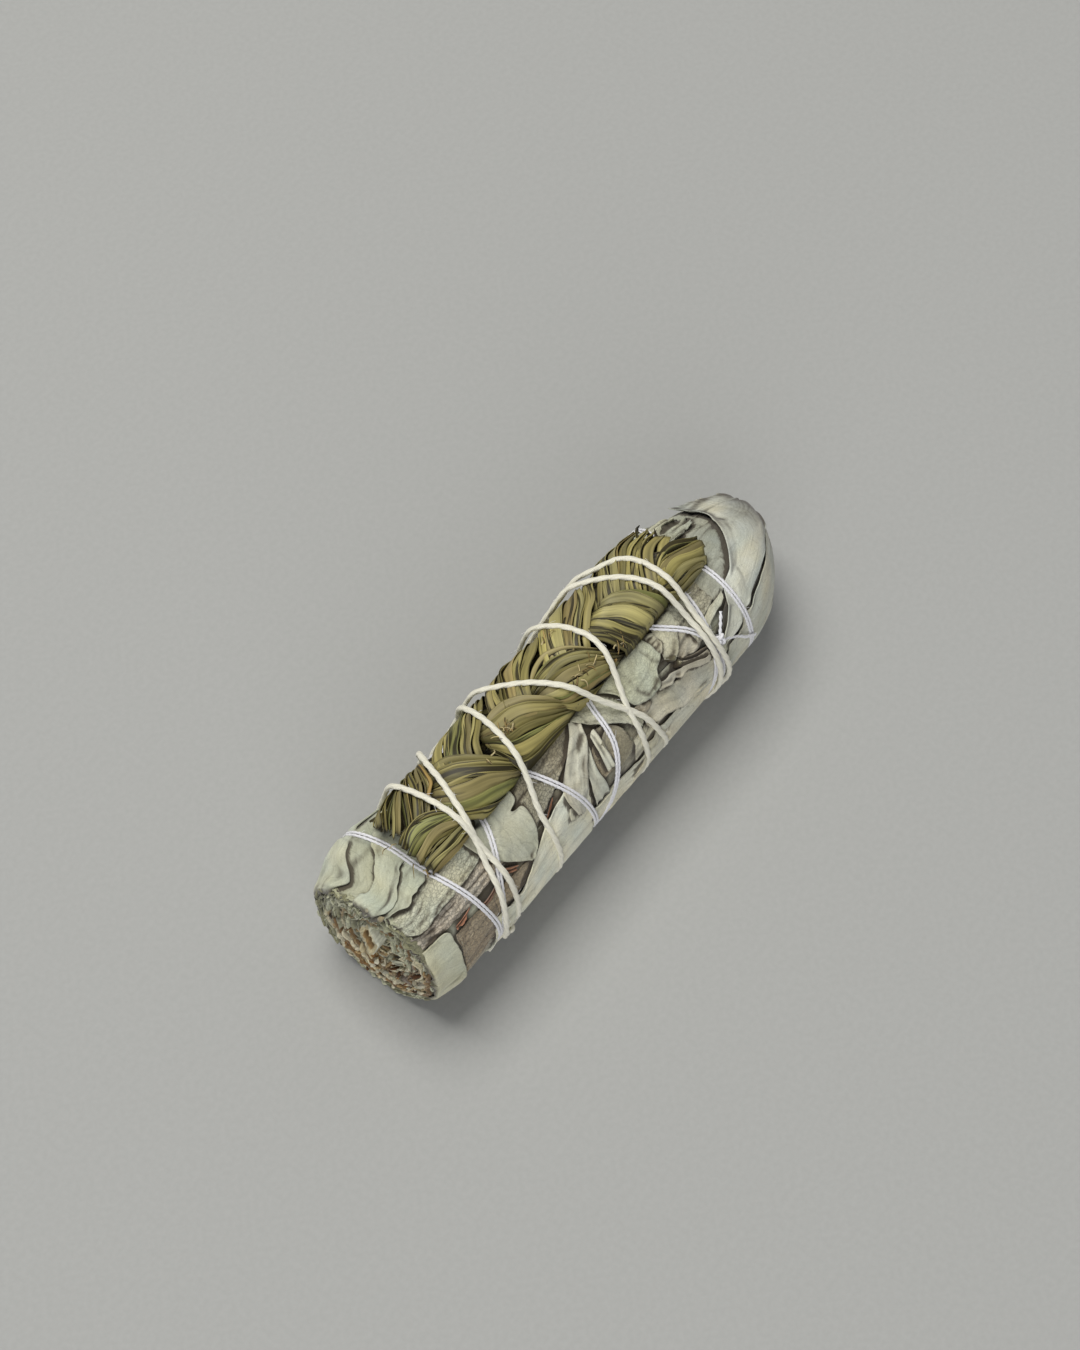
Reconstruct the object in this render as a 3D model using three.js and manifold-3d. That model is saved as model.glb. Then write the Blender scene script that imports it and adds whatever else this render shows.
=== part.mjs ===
// A bunch of dried white sage, laid down and bound for burning. Woody stems run through a tight roll of
// leaves, a fine white thread wound up and down it holds the roll, a plait of three strands of sweetgrass
// lies along its top, and a thicker cream cotton string binds the plait on.
// Millimetres, +Z up. +X runs from the cut end to the leaf tips, and +Y is the far side of the plait.
// An angle round the bunch is in degrees, 0 straight up and 90 towards +Y. The bunch rests on Z = 0.
import * as THREE from "three";
import Module from "manifold-3d";

const wasm = await Module();
wasm.setup();

// Driving dimensions
const bunch = { cutX: -57, tipX: 58.4, radius: 15.4, axisHeight: 14.6 };
const taper = { cutLength: 7, cutShare: 0.93, tipStart: 37, tipPower: 1.7 };
const seat = { angle: 16, spread: 33, share: 0.18 }; // the hollow that the plait lies in
const underside = { angle: 180, spread: 36, share: -0.035 }; // leaves pressed wide where the bunch rests
const farSide = { angle: 80, spread: 32, share: 0.05 }; // the bunch is a little flatter on its far side
const shoulder = { x: -48, length: 8, angle: 66, spread: 26, share: 0.14 }; // a leaf stands out there
const lean = { startX: 43, reach: 3 }; // the tips lean to the far side
const blade = { thickness: 0.9, sunk: 2.4, lap: 0.7, proud: 0.05, wave: 0.12 };
const shownGrid = { segments: 4, columns: 3 };
const hiddenGrid = { segments: 4, columns: 2 };
const core = { inset: 1.7, cutInset: 2.2, rings: 10, sides: 16 };
const gap = 0.3; // between pieces that touch
const thread = { radius: 0.4, spacing: 0.42, stepsPerTurn: 20 }; // the white thread is laid double
const string = { radius: 0.6, sides: 6, stepsPerTurn: 20 };
const floorGap = 0.08; // a binding's height over the surface under the bunch
const plait = {
  startX: -42.8, endX: 36.3, angle: 14, period: 42.6, lobeX: -27,
  swing: 5.6, rise: 1.6, tilt: 25, halfWidth: 3.85, halfThickness: 1.3, clear: 0.2, slices: 28, sides: 12,
};

// Small maths
const rad = THREE.MathUtils.degToRad;
const mix = THREE.MathUtils.lerp;
const smooth = (value) => THREE.MathUtils.smoothstep(value, 0, 1);
const turnOff = (angle, from) => THREE.MathUtils.euclideanModulo(angle - from + 180, 360) - 180;
const bump = (angle, at) => at.share * Math.exp(-((turnOff(angle, at.angle) / at.spread) ** 2));
let seed = 7;
function random(low, high) {
  seed = (seed * 16807) % 2147483647;
  return low + ((high - low) * seed) / 2147483647;
}

// The outer surface of the leaves: its radius at a place along the bunch and an angle round it.
function sageRadius(x, angle) {
  const atCut = mix(taper.cutShare, 1, smooth((x - bunch.cutX) / taper.cutLength));
  const along = Math.max(0, (x - taper.tipStart) / (bunch.tipX + 0.6 - taper.tipStart));
  const atTip = Math.sqrt(Math.max(0, 1 - along ** taper.tipPower));
  const stand = bump(angle, shoulder) * Math.exp(-(((x - shoulder.x) / shoulder.length) ** 2));
  const pressed = bump(angle, seat) + bump(angle, farSide) + bump(angle, underside);
  return bunch.radius * atCut * atTip * (1 + stand - pressed);
}

function place(x, angle, radius) {
  const middleY = lean.reach * Math.max(0, (x - lean.startX) / (bunch.tipX - lean.startX)) ** 2;
  const [y, z] = [radius * Math.sin(rad(angle)), radius * Math.cos(rad(angle))];
  return new THREE.Vector3(x, middleY + y, bunch.axisHeight + z);
}

// A closed body through rings of an even number of points. A ring's two halves face each other, so
// that the ends close in a strip, and both halves are split into triangles alike.
function loft(rings) {
  const count = rings[0].length;
  const half = count / 2;
  const faces = [];
  for (let k = 0; k + 1 < rings.length; k++)
    for (let i = 0; i < count; i++) {
      const a = k * count + i;
      const b = k * count + ((i + 1) % count);
      const c = b + count;
      const d = a + count;
      faces.push(...(i < half ? [a, b, c, a, c, d] : [a, b, d, b, c, d]));
    }
  const last = (rings.length - 1) * count;
  for (let i = 0; i + 1 < half; i++) {
    const far = count - 1 - i;
    faces.push(i, far, i + 1, i + 1, far, far - 1);
    faces.push(last + i, last + i + 1, last + far, last + i + 1, last + far - 1, last + far);
  }
  return closed(rings.flat(), faces);
}

// An indexed geometry with its faces turned to point outwards.
function closed(points, faces) {
  let volume = 0;
  for (let i = 0; i < faces.length; i += 3) {
    const [a, b, c] = faces.slice(i, i + 3).map((index) => points[index]);
    volume += a.dot(b.clone().cross(c));
  }
  const geometry = new THREE.BufferGeometry().setFromPoints(points);
  geometry.setIndex(volume < 0 ? faces.toReversed() : faces);
  return geometry;
}

// manifold-3d's solid of a geometry with shared vertices, and back. A loose scrap is dropped.
function solidOf(geometry) {
  const vertProperties = geometry.getAttribute("position").array;
  const triVerts = new Uint32Array(geometry.index.array);
  return new wasm.Manifold(new wasm.Mesh({ numProp: 3, vertProperties, triVerts }));
}

function geometryOf(solid) {
  const bodies = solid.decompose().sort((a, b) => b.volume() - a.volume());
  const mesh = bodies[0].getMesh();
  const geometry = new THREE.BufferGeometry();
  geometry.setAttribute("position", new THREE.BufferAttribute(mesh.vertProperties, 3));
  geometry.setIndex(new THREE.BufferAttribute(mesh.triVerts, 1));
  return geometry;
}

const join = (solids) => wasm.Manifold.union(solids);
const loftSolid = (rings) => solidOf(loft(rings));

// Leaves. A leaf's middle line runs through places [x, angle]. Its ends are 0 for a blunt end and 1 for
// a point, depth is how far its face lies under the outer surface, and lap is which margin stands out.
const tipFold = [[27, -84], [37, -64], [44.5, -38], [48.6, -8], [47.6, 32]]; // a leaf wrapped round the tips
const shownLeaves = [
  { path: [[-56.6, 68], [-24, 76]], width: 12, ends: [0, 1], depth: -0.15, lap: 1 }, // over the cut end
  { path: [[-56.2, 40], [-24, 34]], width: 9, ends: [0, 1], depth: 0.5, lap: 1 },
  { path: [[-57, 10], [-22, 2]], width: 12, ends: [0, 1], depth: 0, lap: -1 },
  { path: [[-57, -24], [-22, -22]], width: 8.5, ends: [0, 1], depth: 0.2, lap: -1 },
  { path: [[-56.5, -43], [-26, -48]], width: 6, ends: [0, 1], depth: 0.8, lap: -1 },
  { path: [[-57.4, -69], [-48, -71]], width: 12, ends: [0, 0.5], depth: -0.2, lap: 0 },
  { path: [[-54, -82], [-30, -90]], width: 9, ends: [0, 0.8], depth: 0.4, lap: 0 },
  { path: [[-30, 8], [-29.8, -30], [-28.8, -66]], width: 11, ends: [0.3, 1], depth: -0.05, lap: 0 }, // across
  { path: [[-27, -27], [-4, -25]], width: 8, ends: [0.4, 1], depth: 0.7, lap: -1 },
  { path: [[-39, -94], [-26, -80], [-10, -56]], width: 10, ends: [1, 0.8], depth: 0, lap: 1 },
  { path: [[-17.5, -52], [-11, -36], [-4, -22]], width: 2.4, ends: [0.4, 0.4], depth: 0, lap: 0 }, // rolled
  { path: [[-15.5, -58], [-9, -42], [-3.5, -32]], width: 2.4, ends: [0.4, 0.4], depth: 0.1, lap: 0 },
  { path: [[-12, -66], [-7, -52], [-4.4, -40]], width: 2.2, ends: [0.4, 0.4], depth: 0, lap: 0 },
  { path: [[-12, -6], [-1, -40], [6, -72]], width: 8, ends: [0.3, 0.9], depth: 0.3, lap: 1 },
  { path: [[1, -34], [26, -40]], width: 10, ends: [0.9, 0.6], depth: 0, lap: -1 },
  { path: [[-4, -72], [28, -78]], width: 9.5, ends: [1, 0.8], depth: 0.1, lap: 1 },
  { path: [[18, -24], [42, -30]], width: 8, ends: [0.5, 1], depth: 0.5, lap: -1 },
  { path: [[-12, -104], [24, -108]], width: 12, ends: [1, 1], depth: 0.1, lap: -1 },
  { path: tipFold, width: 9, ends: [1, 0.4], depth: -0.05, lap: 0 },
  { path: [[26, -98], [50, -86]], width: 10, ends: [0.9, 0.8], depth: 0.2, lap: -1 }, // below the fold
  { path: [[28, -6], [47, 2]], width: 13, ends: [0.5, 0.8], depth: 1.2, lap: 0 },
  { path: [[24, 42], [50, 52]], width: 12, ends: [0.6, 0.9], depth: 0.3, lap: 1 },
  { path: [[40, -30], [57.6, -20]], width: 11, ends: [0.6, 0.6], depth: 0.4, lap: 0 }, // the tip
  { path: [[42, 130], [57.4, 110]], width: 13, ends: [0.6, 0.6], depth: 0.3, lap: 0 },
];
const hiddenRows = { first: 96, last: 236, step: 23.4, perRow: 3, pitch: 35, length: 44, width: 10.2 };

// The leaves of the far side and the underside, row by row, each a little out of line.
function hiddenLeaves() {
  const leaves = [];
  for (let angle = hiddenRows.first; angle <= hiddenRows.last; angle += hiddenRows.step)
    for (let i = 0; i < hiddenRows.perRow; i++) {
      const start = Math.max(bunch.cutX, bunch.cutX + i * hiddenRows.pitch + random(-6, 4));
      const end = Math.min(bunch.tipX - 4, start + hiddenRows.length + random(-6, 6));
      const from = angle + random(-5, 5);
      const width = hiddenRows.width + random(-1, 1.6);
      const depth = random(0, 0.5);
      const path = [[start, from], [end, from + random(-9, 9)]];
      leaves.push({ path, width, ends: [i ? 1 : 0, 1], depth, lap: 1 });
    }
  return leaves;
}

// One leaf as a curved blade: its half-width comes from its two ends, its face waves, one margin stands
// over the next leaf, and its body is sunk in the core but for a free blade past the core's cut face.
function leafSolid(leaf, grid) {
  const flat = leaf.path.map(([x, angle]) => new THREE.Vector2(x, rad(angle) * bunch.radius));
  const line = new THREE.SplineCurve(flat);
  const phase = random(0, 6);
  const rings = [];
  for (let i = 0; i <= grid.segments; i++) {
    const s = i / grid.segments;
    const middle = line.getPoint(s);
    const along = line.getTangent(s);
    const fromStart = 1 - leaf.ends[0] * (1 - s) ** 3;
    const fromEnd = 1 - leaf.ends[1] * s ** 3;
    const half = Math.max(0.35, (leaf.width / 2) * fromStart * fromEnd * (1 + 0.1 * Math.sin(9 * s + phase)));
    const outer = [];
    const inner = [];
    for (let j = 0; j <= grid.columns; j++) {
      const t = (2 * j) / grid.columns - 1;
      const x = Math.min(bunch.tipX - 0.1, middle.x - along.y * half * t);
      const angle = THREE.MathUtils.radToDeg((middle.y + along.x * half * t) / bunch.radius);
      const wave = blade.wave * (Math.sin(7 * s + 3 * t + phase) - 1);
      const lapped = blade.proud + (blade.lap * (leaf.lap * t - Math.abs(leaf.lap))) / 2;
      const radius = Math.max(1.2, sageRadius(x, angle) - leaf.depth + wave + lapped);
      const free = smooth((bunch.cutX + 5 - x) / 3);
      outer.push(place(x, angle, radius));
      inner.unshift(place(x, angle, Math.max(0.2, radius - mix(blade.sunk, blade.thickness, free))));
    }
    rings.push([...outer, ...inner]);
  }
  return loftSolid(rings);
}

// The packed middle of the roll, which the leaves stand out of.
function coreSolid() {
  const rings = [];
  const from = bunch.cutX + core.cutInset;
  const to = bunch.tipX - core.inset;
  for (let k = 0; k < core.rings; k++) {
    const x = mix(from, to, 1 - (1 - k / (core.rings - 1)) ** 1.35);
    rings.push(
      Array.from({ length: core.sides }, (_, i) => {
        const angle = (360 * i) / core.sides;
        return place(x, angle, Math.max(0.8, sageRadius(x, angle) - core.inset));
      }),
    );
  }
  return loftSolid(rings);
}

// Folded leaves seen edge on at the cut face, as short blades bent in arcs: [radius, angle, sweep].
const folds = [
  [11.9, 330, 60], [11.6, 30, 62], [11.6, 92, 50], [11.8, 150, 44], [11.7, 205, 50], [11.6, 262, 46],
  [9.2, 352, 50], [8.9, 62, 66], [9.4, 128, 46], [6.6, 30, 60], [6.4, 100, 50],
];

function foldSolid([radius, angle, sweep]) {
  const steps = 4;
  const reach = random(1.4, 2.6);
  const back = bunch.cutX + core.cutInset + 1;
  const rings = [];
  for (let k = 0; k <= steps; k++) {
    const at = angle + sweep * (k / steps - 0.5);
    const middle = radius + 0.5 * Math.sin(2.4 * k + radius);
    const front = bunch.cutX + core.cutInset - reach + 0.3 * Math.cos(3 * k);
    const [low, high] = [middle - blade.thickness / 2, middle + blade.thickness / 2];
    rings.push([place(front, at, low), place(front, at, high), place(back, at, high), place(back, at, low)]);
  }
  return loftSolid(rings);
}

// Stems in plain holes in the roll: [y, height over the middle, radius, wall, end]. The first is the
// hollow stalk at the middle of the cut end, and the last is a twig that shows between leaves.
const stems = [
  [0.4, 3.2, 2.4, 0.7, 30], [1.8, -6.3, 1.5, 0.8, 22], [-4.2, -1.8, 1.6, 0.9, 34], [-8.6, 1.6, 1.4, 0.8, 18],
  [-10.2, -3.2, 1.1, 0.6, 8], [-3, -8.2, 1.3, 0.7, 26], [-6.9, -5.9, 1.2, 0.7, 12], [5.6, -3.2, 1.2, 0.6, 20],
  [-0.9, -3.0, 1.1, 0.6, 6], [-5.2, 3.6, 1.1, 0.6, 14], [1.4, -11.2, 1.0, 0.6, 2], [-11.1, 7.0, 1.1, 0.6, -10],
];
const hollow = { depth: 1.6, sides: 8 };

function stemGeometry([y, height, radius, wall, endX], clearance = 0) {
  const startX = bunch.cutX - 0.4 + 0.9 * Math.abs(Math.sin(3 * y + height)) - 4 * clearance;
  const length = endX + clearance - startX;
  const outer = radius + clearance;
  const profile = [[outer, 0], [0.8 * outer, length]]; // from the cut end to the far end
  if (!clearance) profile.unshift([radius - wall - 0.1, hollow.depth], [radius - wall, 0]);
  const rings = profile.map(([across, along]) =>
    Array.from({ length: hollow.sides }, (_, i) => {
      const turn = (2 * Math.PI * i) / hollow.sides;
      return new THREE.Vector3(along, across * Math.cos(turn), across * Math.sin(turn));
    }),
  );
  return loft(rings).translate(startX, y, bunch.axisHeight + height);
}

// Routes of the two bindings, by hand: angle turned so far and place along the bunch. An angle of 70 is
// the far edge, -110 the near edge and -180 the underside, and each turn adds -360.
const threadRoute = [
  [-112, -41.5], [-150, -43.6], [-180, -44], [-210, -44.4], [-290, -46], [-335, -45.3], [-372, -45.9],
  [-410, -43.7], [-439, -42], [-470, -40.4], // the end of the first turn
  [-505, -36], [-540, -35], [-570, -33], [-650, -24], [-708, -21], [-738, -19.6], [-783, -14.8], [-829, -12],
  [-870, -9.4], [-900, -9], [-930, -7.4], [-1010, 12], [-1068, 16], [-1097, 18.5], [-1131, 25], [-1189, 27.4],
  [-1230, 29.8], [-1260, 30.5], [-1290, 31.2], [-1370, 37.3], [-1428, 35], [-1463, 35], [-1521, 35.6],
  [-1549, 36.6], [-1590, 35.9], [-1620, 35.5], [-1650, 35], [-1730, 33], [-1788, 29.5], [-1817, 28.2],
  [-1844, 26.6], [-1862, 25.6], [-1909, 22.4], [-1950, 16], [-1980, 15], [-2010, 14], [-2090, 9], [-2148, 3.5],
  [-2182, -1.4], [-2216, -3.5], [-2258, -9.1], [-2310, -16.6], [-2340, -17.5], [-2370, -18.2], [-2450, -22],
  [-2508, -29], [-2542, -32.3], [-2583, -38.5], [-2629, -41.3], // back at the cut end
];
const stringRoute = [
  [-116, -38], [-150, -40], [-180, -40.3], [-210, -40.3], [-290, -37.8], [-338, -37], [-377, -36.5],
  [-426, -36.2], [-469, -35.6], // the end of the first turn
  [-505, -31.8], [-540, -31.5], [-570, -30], [-650, -18], [-687, -12.3], [-712, -6.4], [-738, -1.5],
  [-771, 4.4], [-795, 6.7], [-829, 9.4], [-870, 8.8], [-900, 8.5], [-930, 8.2], [-1010, 6], [-1045, 15.4],
  [-1072, 21.7], [-1099, 23.9], [-1134, 24.5], [-1189, 24.4], [-1230, 19.6], [-1260, 19], [-1290, 18],
  [-1370, 9], [-1405, 18.5], [-1422, 25], [-1453, 26], [-1494, 25.9], [-1549, 28], [-1590, 25.4], [-1620, 25],
  [-1650, 23.6], [-1730, 3.5], [-1784, 6.5], [-1803, 6.8], [-1839, 3.4], [-1868, 2.7], [-1909, 2.6],
  [-1950, -1.4], [-1980, -2], // turns back towards the cut end
  [-2010, -2.8], [-2090, -14.5], [-2143, -17.9], [-2178, -21], [-2211, -23.7], [-2269, -23.4], [-2310, -24.3],
  [-2340, -24.5], [-2370, -24.7], [-2450, -25.5], [-2502, -31.7], [-2536, -36], [-2605, -40.6], [-2636, -38.6],
];

// The plait's own outer face, and how far out a string drawn tight over both lies.
const plaitRest = sageRadius(0, plait.angle) + 2 * gap + 2 * thread.radius + plait.clear;
const plaitMiddle = plaitRest + plait.rise + plait.halfThickness;
const plaitReach = THREE.MathUtils.radToDeg((plait.swing + plait.halfWidth) / plaitMiddle);

function outerRadius(x, angle) {
  const off = Math.abs(turnOff(angle, plait.angle)) / plaitReach;
  const rounded = Math.sqrt(Math.max(0, 1 - off ** 4));
  const crown = plaitMiddle + plait.halfThickness * rounded + plait.rise * smooth((1.12 - off) / 0.45);
  return off < 1 ? Math.max(crown, sageRadius(x, angle)) : sageRadius(x, angle);
}

function tautRadius(x, angle) {
  const step = 5;
  let best = outerRadius(x, angle);
  for (let before = step; before < 85; before += step)
    for (let after = step; after < 85; after += step) {
      const [p, q] = [outerRadius(x, angle - before), outerRadius(x, angle + after)];
      const chord = p * Math.sin(rad(before)) + q * Math.sin(rad(after));
      best = Math.max(best, (p * q * Math.sin(rad(before + after))) / chord);
    }
  return best;
}

// Under the bunch a binding runs flat along the surface that the bunch lies on.
function keepOffFloor(angle, radius, halfHeight) {
  const down = -Math.cos(rad(angle));
  const most = bunch.axisHeight - halfHeight - floorGap;
  return radius * down > most ? most / down : radius;
}

function routePoints(route, stepsPerTurn, radiusAt) {
  const line = new THREE.SplineCurve(route.map(([angle, x]) => new THREE.Vector2(angle, x)));
  const count = Math.round(((route[0][0] - route.at(-1)[0]) / 360) * stepsPerTurn);
  return line.getSpacedPoints(count).map((point) => {
    const [angle, x] = [point.x, point.y];
    return { x, angle, at: place(x, angle, radiusAt(x, angle)) };
  });
}

const threadHeight = gap + thread.radius;
const stringHeight = gap + string.radius;
const threadPoints = routePoints(threadRoute, thread.stepsPerTurn, (x, angle) =>
  keepOffFloor(angle, sageRadius(x, angle) + threadHeight, thread.radius),
);

// The string rises over the thread where they cross.
function liftOverThread(x, angle) {
  let nearest = Infinity;
  for (const point of threadPoints) {
    const across = rad(turnOff(angle, point.angle)) * bunch.radius;
    nearest = Math.min(nearest, Math.hypot(x - point.x, across));
  }
  return (2 * thread.radius + gap) * (1 - smooth((nearest - 2.9) / 2.4));
}

const stringPoints = routePoints(stringRoute, string.stepsPerTurn, (x, angle) => {
  const lifted = sageRadius(x, angle) + stringHeight + liftOverThread(x, angle);
  return keepOffFloor(angle, Math.max(tautRadius(x, angle) + stringHeight, lifted), string.radius);
});

// A section carried along a route's points, its first axis across the route and its second outwards.
function sweepRings(points, section) {
  return points.map((point, i) => {
    const before = points[Math.max(0, i - 1)].at;
    const after = points[Math.min(points.length - 1, i + 1)].at;
    const along = after.clone().sub(before).normalize();
    const out = place(0, point.angle, 1).sub(place(0, point.angle, 0));
    const across = along.clone().cross(out).normalize();
    out.crossVectors(across, along);
    return section.map(([u, v]) => point.at.clone().addScaledVector(across, u).addScaledVector(out, v));
  });
}

const circle = (radius, sides) =>
  Array.from({ length: sides }, (_, i) => {
    const turn = (2 * Math.PI * (i + 0.5)) / sides;
    return [radius * Math.cos(turn), radius * Math.sin(turn)];
  });

// Two threads side by side, touching.
const doubleThread = [
  [thread.spacing, thread.radius], [2 * thread.spacing, 0], [thread.spacing, -thread.radius],
  [-thread.spacing, -thread.radius], [-2 * thread.spacing, 0], [-thread.spacing, thread.radius],
];
const singleString = circle(string.radius, string.sides);

// A binding crosses itself, so it is swept less than a turn at a time and joined face to face.
function binding(points, section, stepsPerTurn, extras) {
  const rings = sweepRings(points, section);
  const length = Math.round(0.8 * stepsPerTurn);
  const runs = [];
  for (let i = 0; i + 1 < rings.length; i += length) runs.push(loftSolid(rings.slice(i, i + length + 1)));
  return geometryOf(join([...runs, ...extras]));
}

// Knots: a lump where the ends meet, and the cut ends.
const knotted = {
  thread: { at: [27.4, -61], radius: 0.95, height: threadHeight + 0.1, tails: [[30.4, -47], [36.2, -90]] },
  string: { at: [-37.9, -119], radius: 1.3, height: stringHeight + 0.9, tails: [[-33.8, -124], [-42.4, -124]] },
};

function knotSolids(knot, tailRadius) {
  const out = (x, angle) => place(x, angle, sageRadius(x, angle) + knot.height);
  const middle = out(...knot.at);
  const lump = [-0.8, -0.3, 0.3, 0.8].map((k) => {
    const ring = circle(knot.radius * Math.sqrt(1 - k * k), 6);
    return ring.map(([u, v]) => new THREE.Vector3(k * knot.radius, u, v).add(middle));
  });
  const tails = knot.tails.map(([x, angle]) => {
    const points = [0, 0.33, 0.67, 1].map((s) => {
      const [px, pa] = [mix(knot.at[0], x, s), mix(knot.at[1], angle, s)];
      return { x: px, angle: pa, at: out(px, pa) };
    });
    return loftSolid(sweepRings(points, circle(tailRadius, 6)));
  });
  return [loftSolid(lump), ...tails];
}

// Channels in the underside of the leaves, where a binding runs flat.
function channels(points, section) {
  const made = [];
  let run = [];
  for (const point of points) {
    const below = Math.cos(rad(point.angle)) < -0.6;
    if (below) run.push(point);
    if (!below && run.length) {
      made.push(loftSolid(sweepRings([...run, point], section)));
      run = [];
    }
  }
  return made;
}

function boxSection(halfWidth, up, down) {
  return [[-halfWidth, up], [halfWidth, up], [halfWidth, -down], [-halfWidth, -down]];
}

function floorSolid() {
  const [side, depth] = [100, 40];
  const ring = (x) => [[x, -side, 0], [x, side, 0], [x, side, -depth], [x, -side, -depth]];
  return loftSolid([-side, side].map((x) => ring(x).map((point) => new THREE.Vector3(...point))));
}

function sageLeaves() {
  const shown = shownLeaves.map((leaf) => leafSolid(leaf, shownGrid));
  const hidden = hiddenLeaves().map((leaf) => leafSolid(leaf, hiddenGrid));
  const roll = join([coreSolid(), ...folds.map(foldSolid), ...shown, ...hidden]);
  const holes = stems.map((stem) => solidOf(stemGeometry(stem, gap)));
  const threadCut = boxSection(2 * thread.spacing + gap + 0.05, 1.2, thread.radius + gap + 0.05);
  const stringCut = boxSection(string.radius + gap + 0.05, 1.2, string.radius + gap + 0.05);
  const cuts = [...channels(threadPoints, threadCut), ...channels(stringPoints, stringCut)];
  return geometryOf(roll.subtract(join([...holes, ...cuts, floorSolid()])));
}

// One strand of the plait: slices across the bunch, each a ridged oval, and cut blade ends that stand
// a little past both ends of the strand.
function strandGeometry(index) {
  const slice = (x, size = 1) => {
    const turn = (2 * Math.PI * (x - plait.lobeX)) / plait.period + rad(240) + (2 * Math.PI * index) / 3;
    const tilt = rad(plait.tilt) * Math.cos(3 * turn);
    const [across, up] = [plait.swing * Math.sin(turn), plait.rise * Math.sin(2 * turn)];
    return Array.from({ length: plait.sides }, (_, i) => {
      const at = (2 * Math.PI * (i + 0.5)) / plait.sides;
      const ridge = size * (i % 2 ? 1 : 0.92);
      const [u, v] = [plait.halfWidth * ridge * Math.cos(at), plait.halfThickness * ridge * Math.sin(at)];
      const side = across + u * Math.cos(tilt) - v * Math.sin(tilt);
      const radius = plaitMiddle + up + u * Math.sin(tilt) + v * Math.cos(tilt);
      return place(x, plait.angle + THREE.MathUtils.radToDeg(side / plaitMiddle), radius);
    });
  };
  const whole = Array.from({ length: plait.slices }, (_, k) =>
    slice(mix(plait.startX, plait.endX, k / (plait.slices - 1))),
  );
  const bladeEnds = [];
  for (const [x, outwards] of [[plait.startX, -1], [plait.endX, 1]])
    for (let i = 0; i + 1 < plait.sides / 2; i++) {
      const far = plait.sides - 1 - i;
      const corners = [i, i + 1, far - 1, far];
      const root = slice(x - outwards * (1 + 0.17 * i), 0.86 - 0.01 * i);
      const tip = slice(x + random(0.6, 2.4) * outwards, 0.82);
      bladeEnds.push(loftSolid([corners.map((c) => root[c]), corners.map((c) => tip[c])]));
    }
  return geometryOf(join([loftSolid(whole), ...bladeEnds]));
}

// The sub-parts as named meshes
const sageGreen = new THREE.MeshStandardMaterial({ color: "#a8a892", roughness: 0.9, metalness: 0 });
const stemBrown = new THREE.MeshStandardMaterial({ color: "#8a6a48", roughness: 0.85, metalness: 0 });
const grassOlive = new THREE.MeshStandardMaterial({ color: "#857c46", roughness: 0.7, metalness: 0 });
const threadWhite = new THREE.MeshStandardMaterial({ color: "#e4e2e0", roughness: 0.9, metalness: 0 });
const stringCream = new THREE.MeshStandardMaterial({ color: "#e6e0cc", roughness: 0.9, metalness: 0 });

const sageBunch = new THREE.Group();
sageBunch.name = "sage_bunch";

function add(name, geometry, material) {
  const mesh = new THREE.Mesh(geometry, material);
  mesh.name = name;
  sageBunch.add(mesh);
}

add("sage_leaves", sageLeaves(), sageGreen);
stems.forEach((stem, i) => add(`stem_${i + 1}`, stemGeometry(stem), stemBrown));
for (let i = 0; i < 3; i++) add(`grass_strand_${i + 1}`, strandGeometry(i), grassOlive);
const threadEnds = knotSolids(knotted.thread, thread.radius);
const stringEnds = knotSolids(knotted.string, string.radius);
add("white_thread", binding(threadPoints, doubleThread, thread.stepsPerTurn, threadEnds), threadWhite);
add("cream_string", binding(stringPoints, singleString, string.stepsPerTurn, stringEnds), stringCream);

export default sageBunch;
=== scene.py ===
import bpy
import numpy as np
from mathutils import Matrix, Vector


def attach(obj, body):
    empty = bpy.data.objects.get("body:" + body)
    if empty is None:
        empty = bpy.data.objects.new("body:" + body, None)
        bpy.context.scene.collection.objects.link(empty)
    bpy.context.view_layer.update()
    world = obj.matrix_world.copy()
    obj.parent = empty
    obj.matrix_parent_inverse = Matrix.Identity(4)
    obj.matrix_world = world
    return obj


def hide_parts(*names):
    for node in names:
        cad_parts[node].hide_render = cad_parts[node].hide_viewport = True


# A bunch of dried white sage, bound for burning with a white thread, a plait of sweetgrass laid along its
# top and a cream string. Shapes are worked out in millimetres, in the part's own frame: +X runs from the
# cut end to the leaf tips and +Z is up. An angle round the bunch is in degrees, 0 up and 90 towards +Y.
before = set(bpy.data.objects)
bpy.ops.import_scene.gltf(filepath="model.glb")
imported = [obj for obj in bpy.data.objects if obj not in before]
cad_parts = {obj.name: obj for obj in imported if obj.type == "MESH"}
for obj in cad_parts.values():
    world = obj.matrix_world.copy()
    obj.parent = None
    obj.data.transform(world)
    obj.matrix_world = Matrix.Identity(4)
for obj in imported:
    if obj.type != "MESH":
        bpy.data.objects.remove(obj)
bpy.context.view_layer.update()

# ---- the form of the bunch, the same values as in the part's source
bunch = {"cutX": -57.0, "tipX": 58.4, "radius": 15.4, "axisHeight": 14.6, "cutLength": 7.0, "cutShare": 0.93,
         "tipStart": 37.0, "tipPower": 1.7, "leanStart": 43.0, "leanReach": 3.0}
seat = {"angle": 16, "spread": 33, "share": 0.18}  # the hollow that the plait lies in
underside = {"angle": 180, "spread": 36, "share": -0.035}
farSide = {"angle": 80, "spread": 32, "share": 0.05}
shoulder = {"x": -48, "length": 8, "angle": 66, "spread": 26, "share": 0.14}
plait = {"startX": -42.8, "endX": 36.3, "angle": 14, "period": 42.6, "lobeX": -27, "swing": 5.6, "rise": 1.6,
         "tilt": 25, "halfWidth": 3.85, "halfThickness": 1.3}
bedding = 1.6  # from the leaves to the underside of the plait


def smooth(t):
    # 3t^2 - 2t^3, held between 0 and 1
    t = np.clip(t, 0, 1)
    return t * t * (3 - 2 * t)


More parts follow.
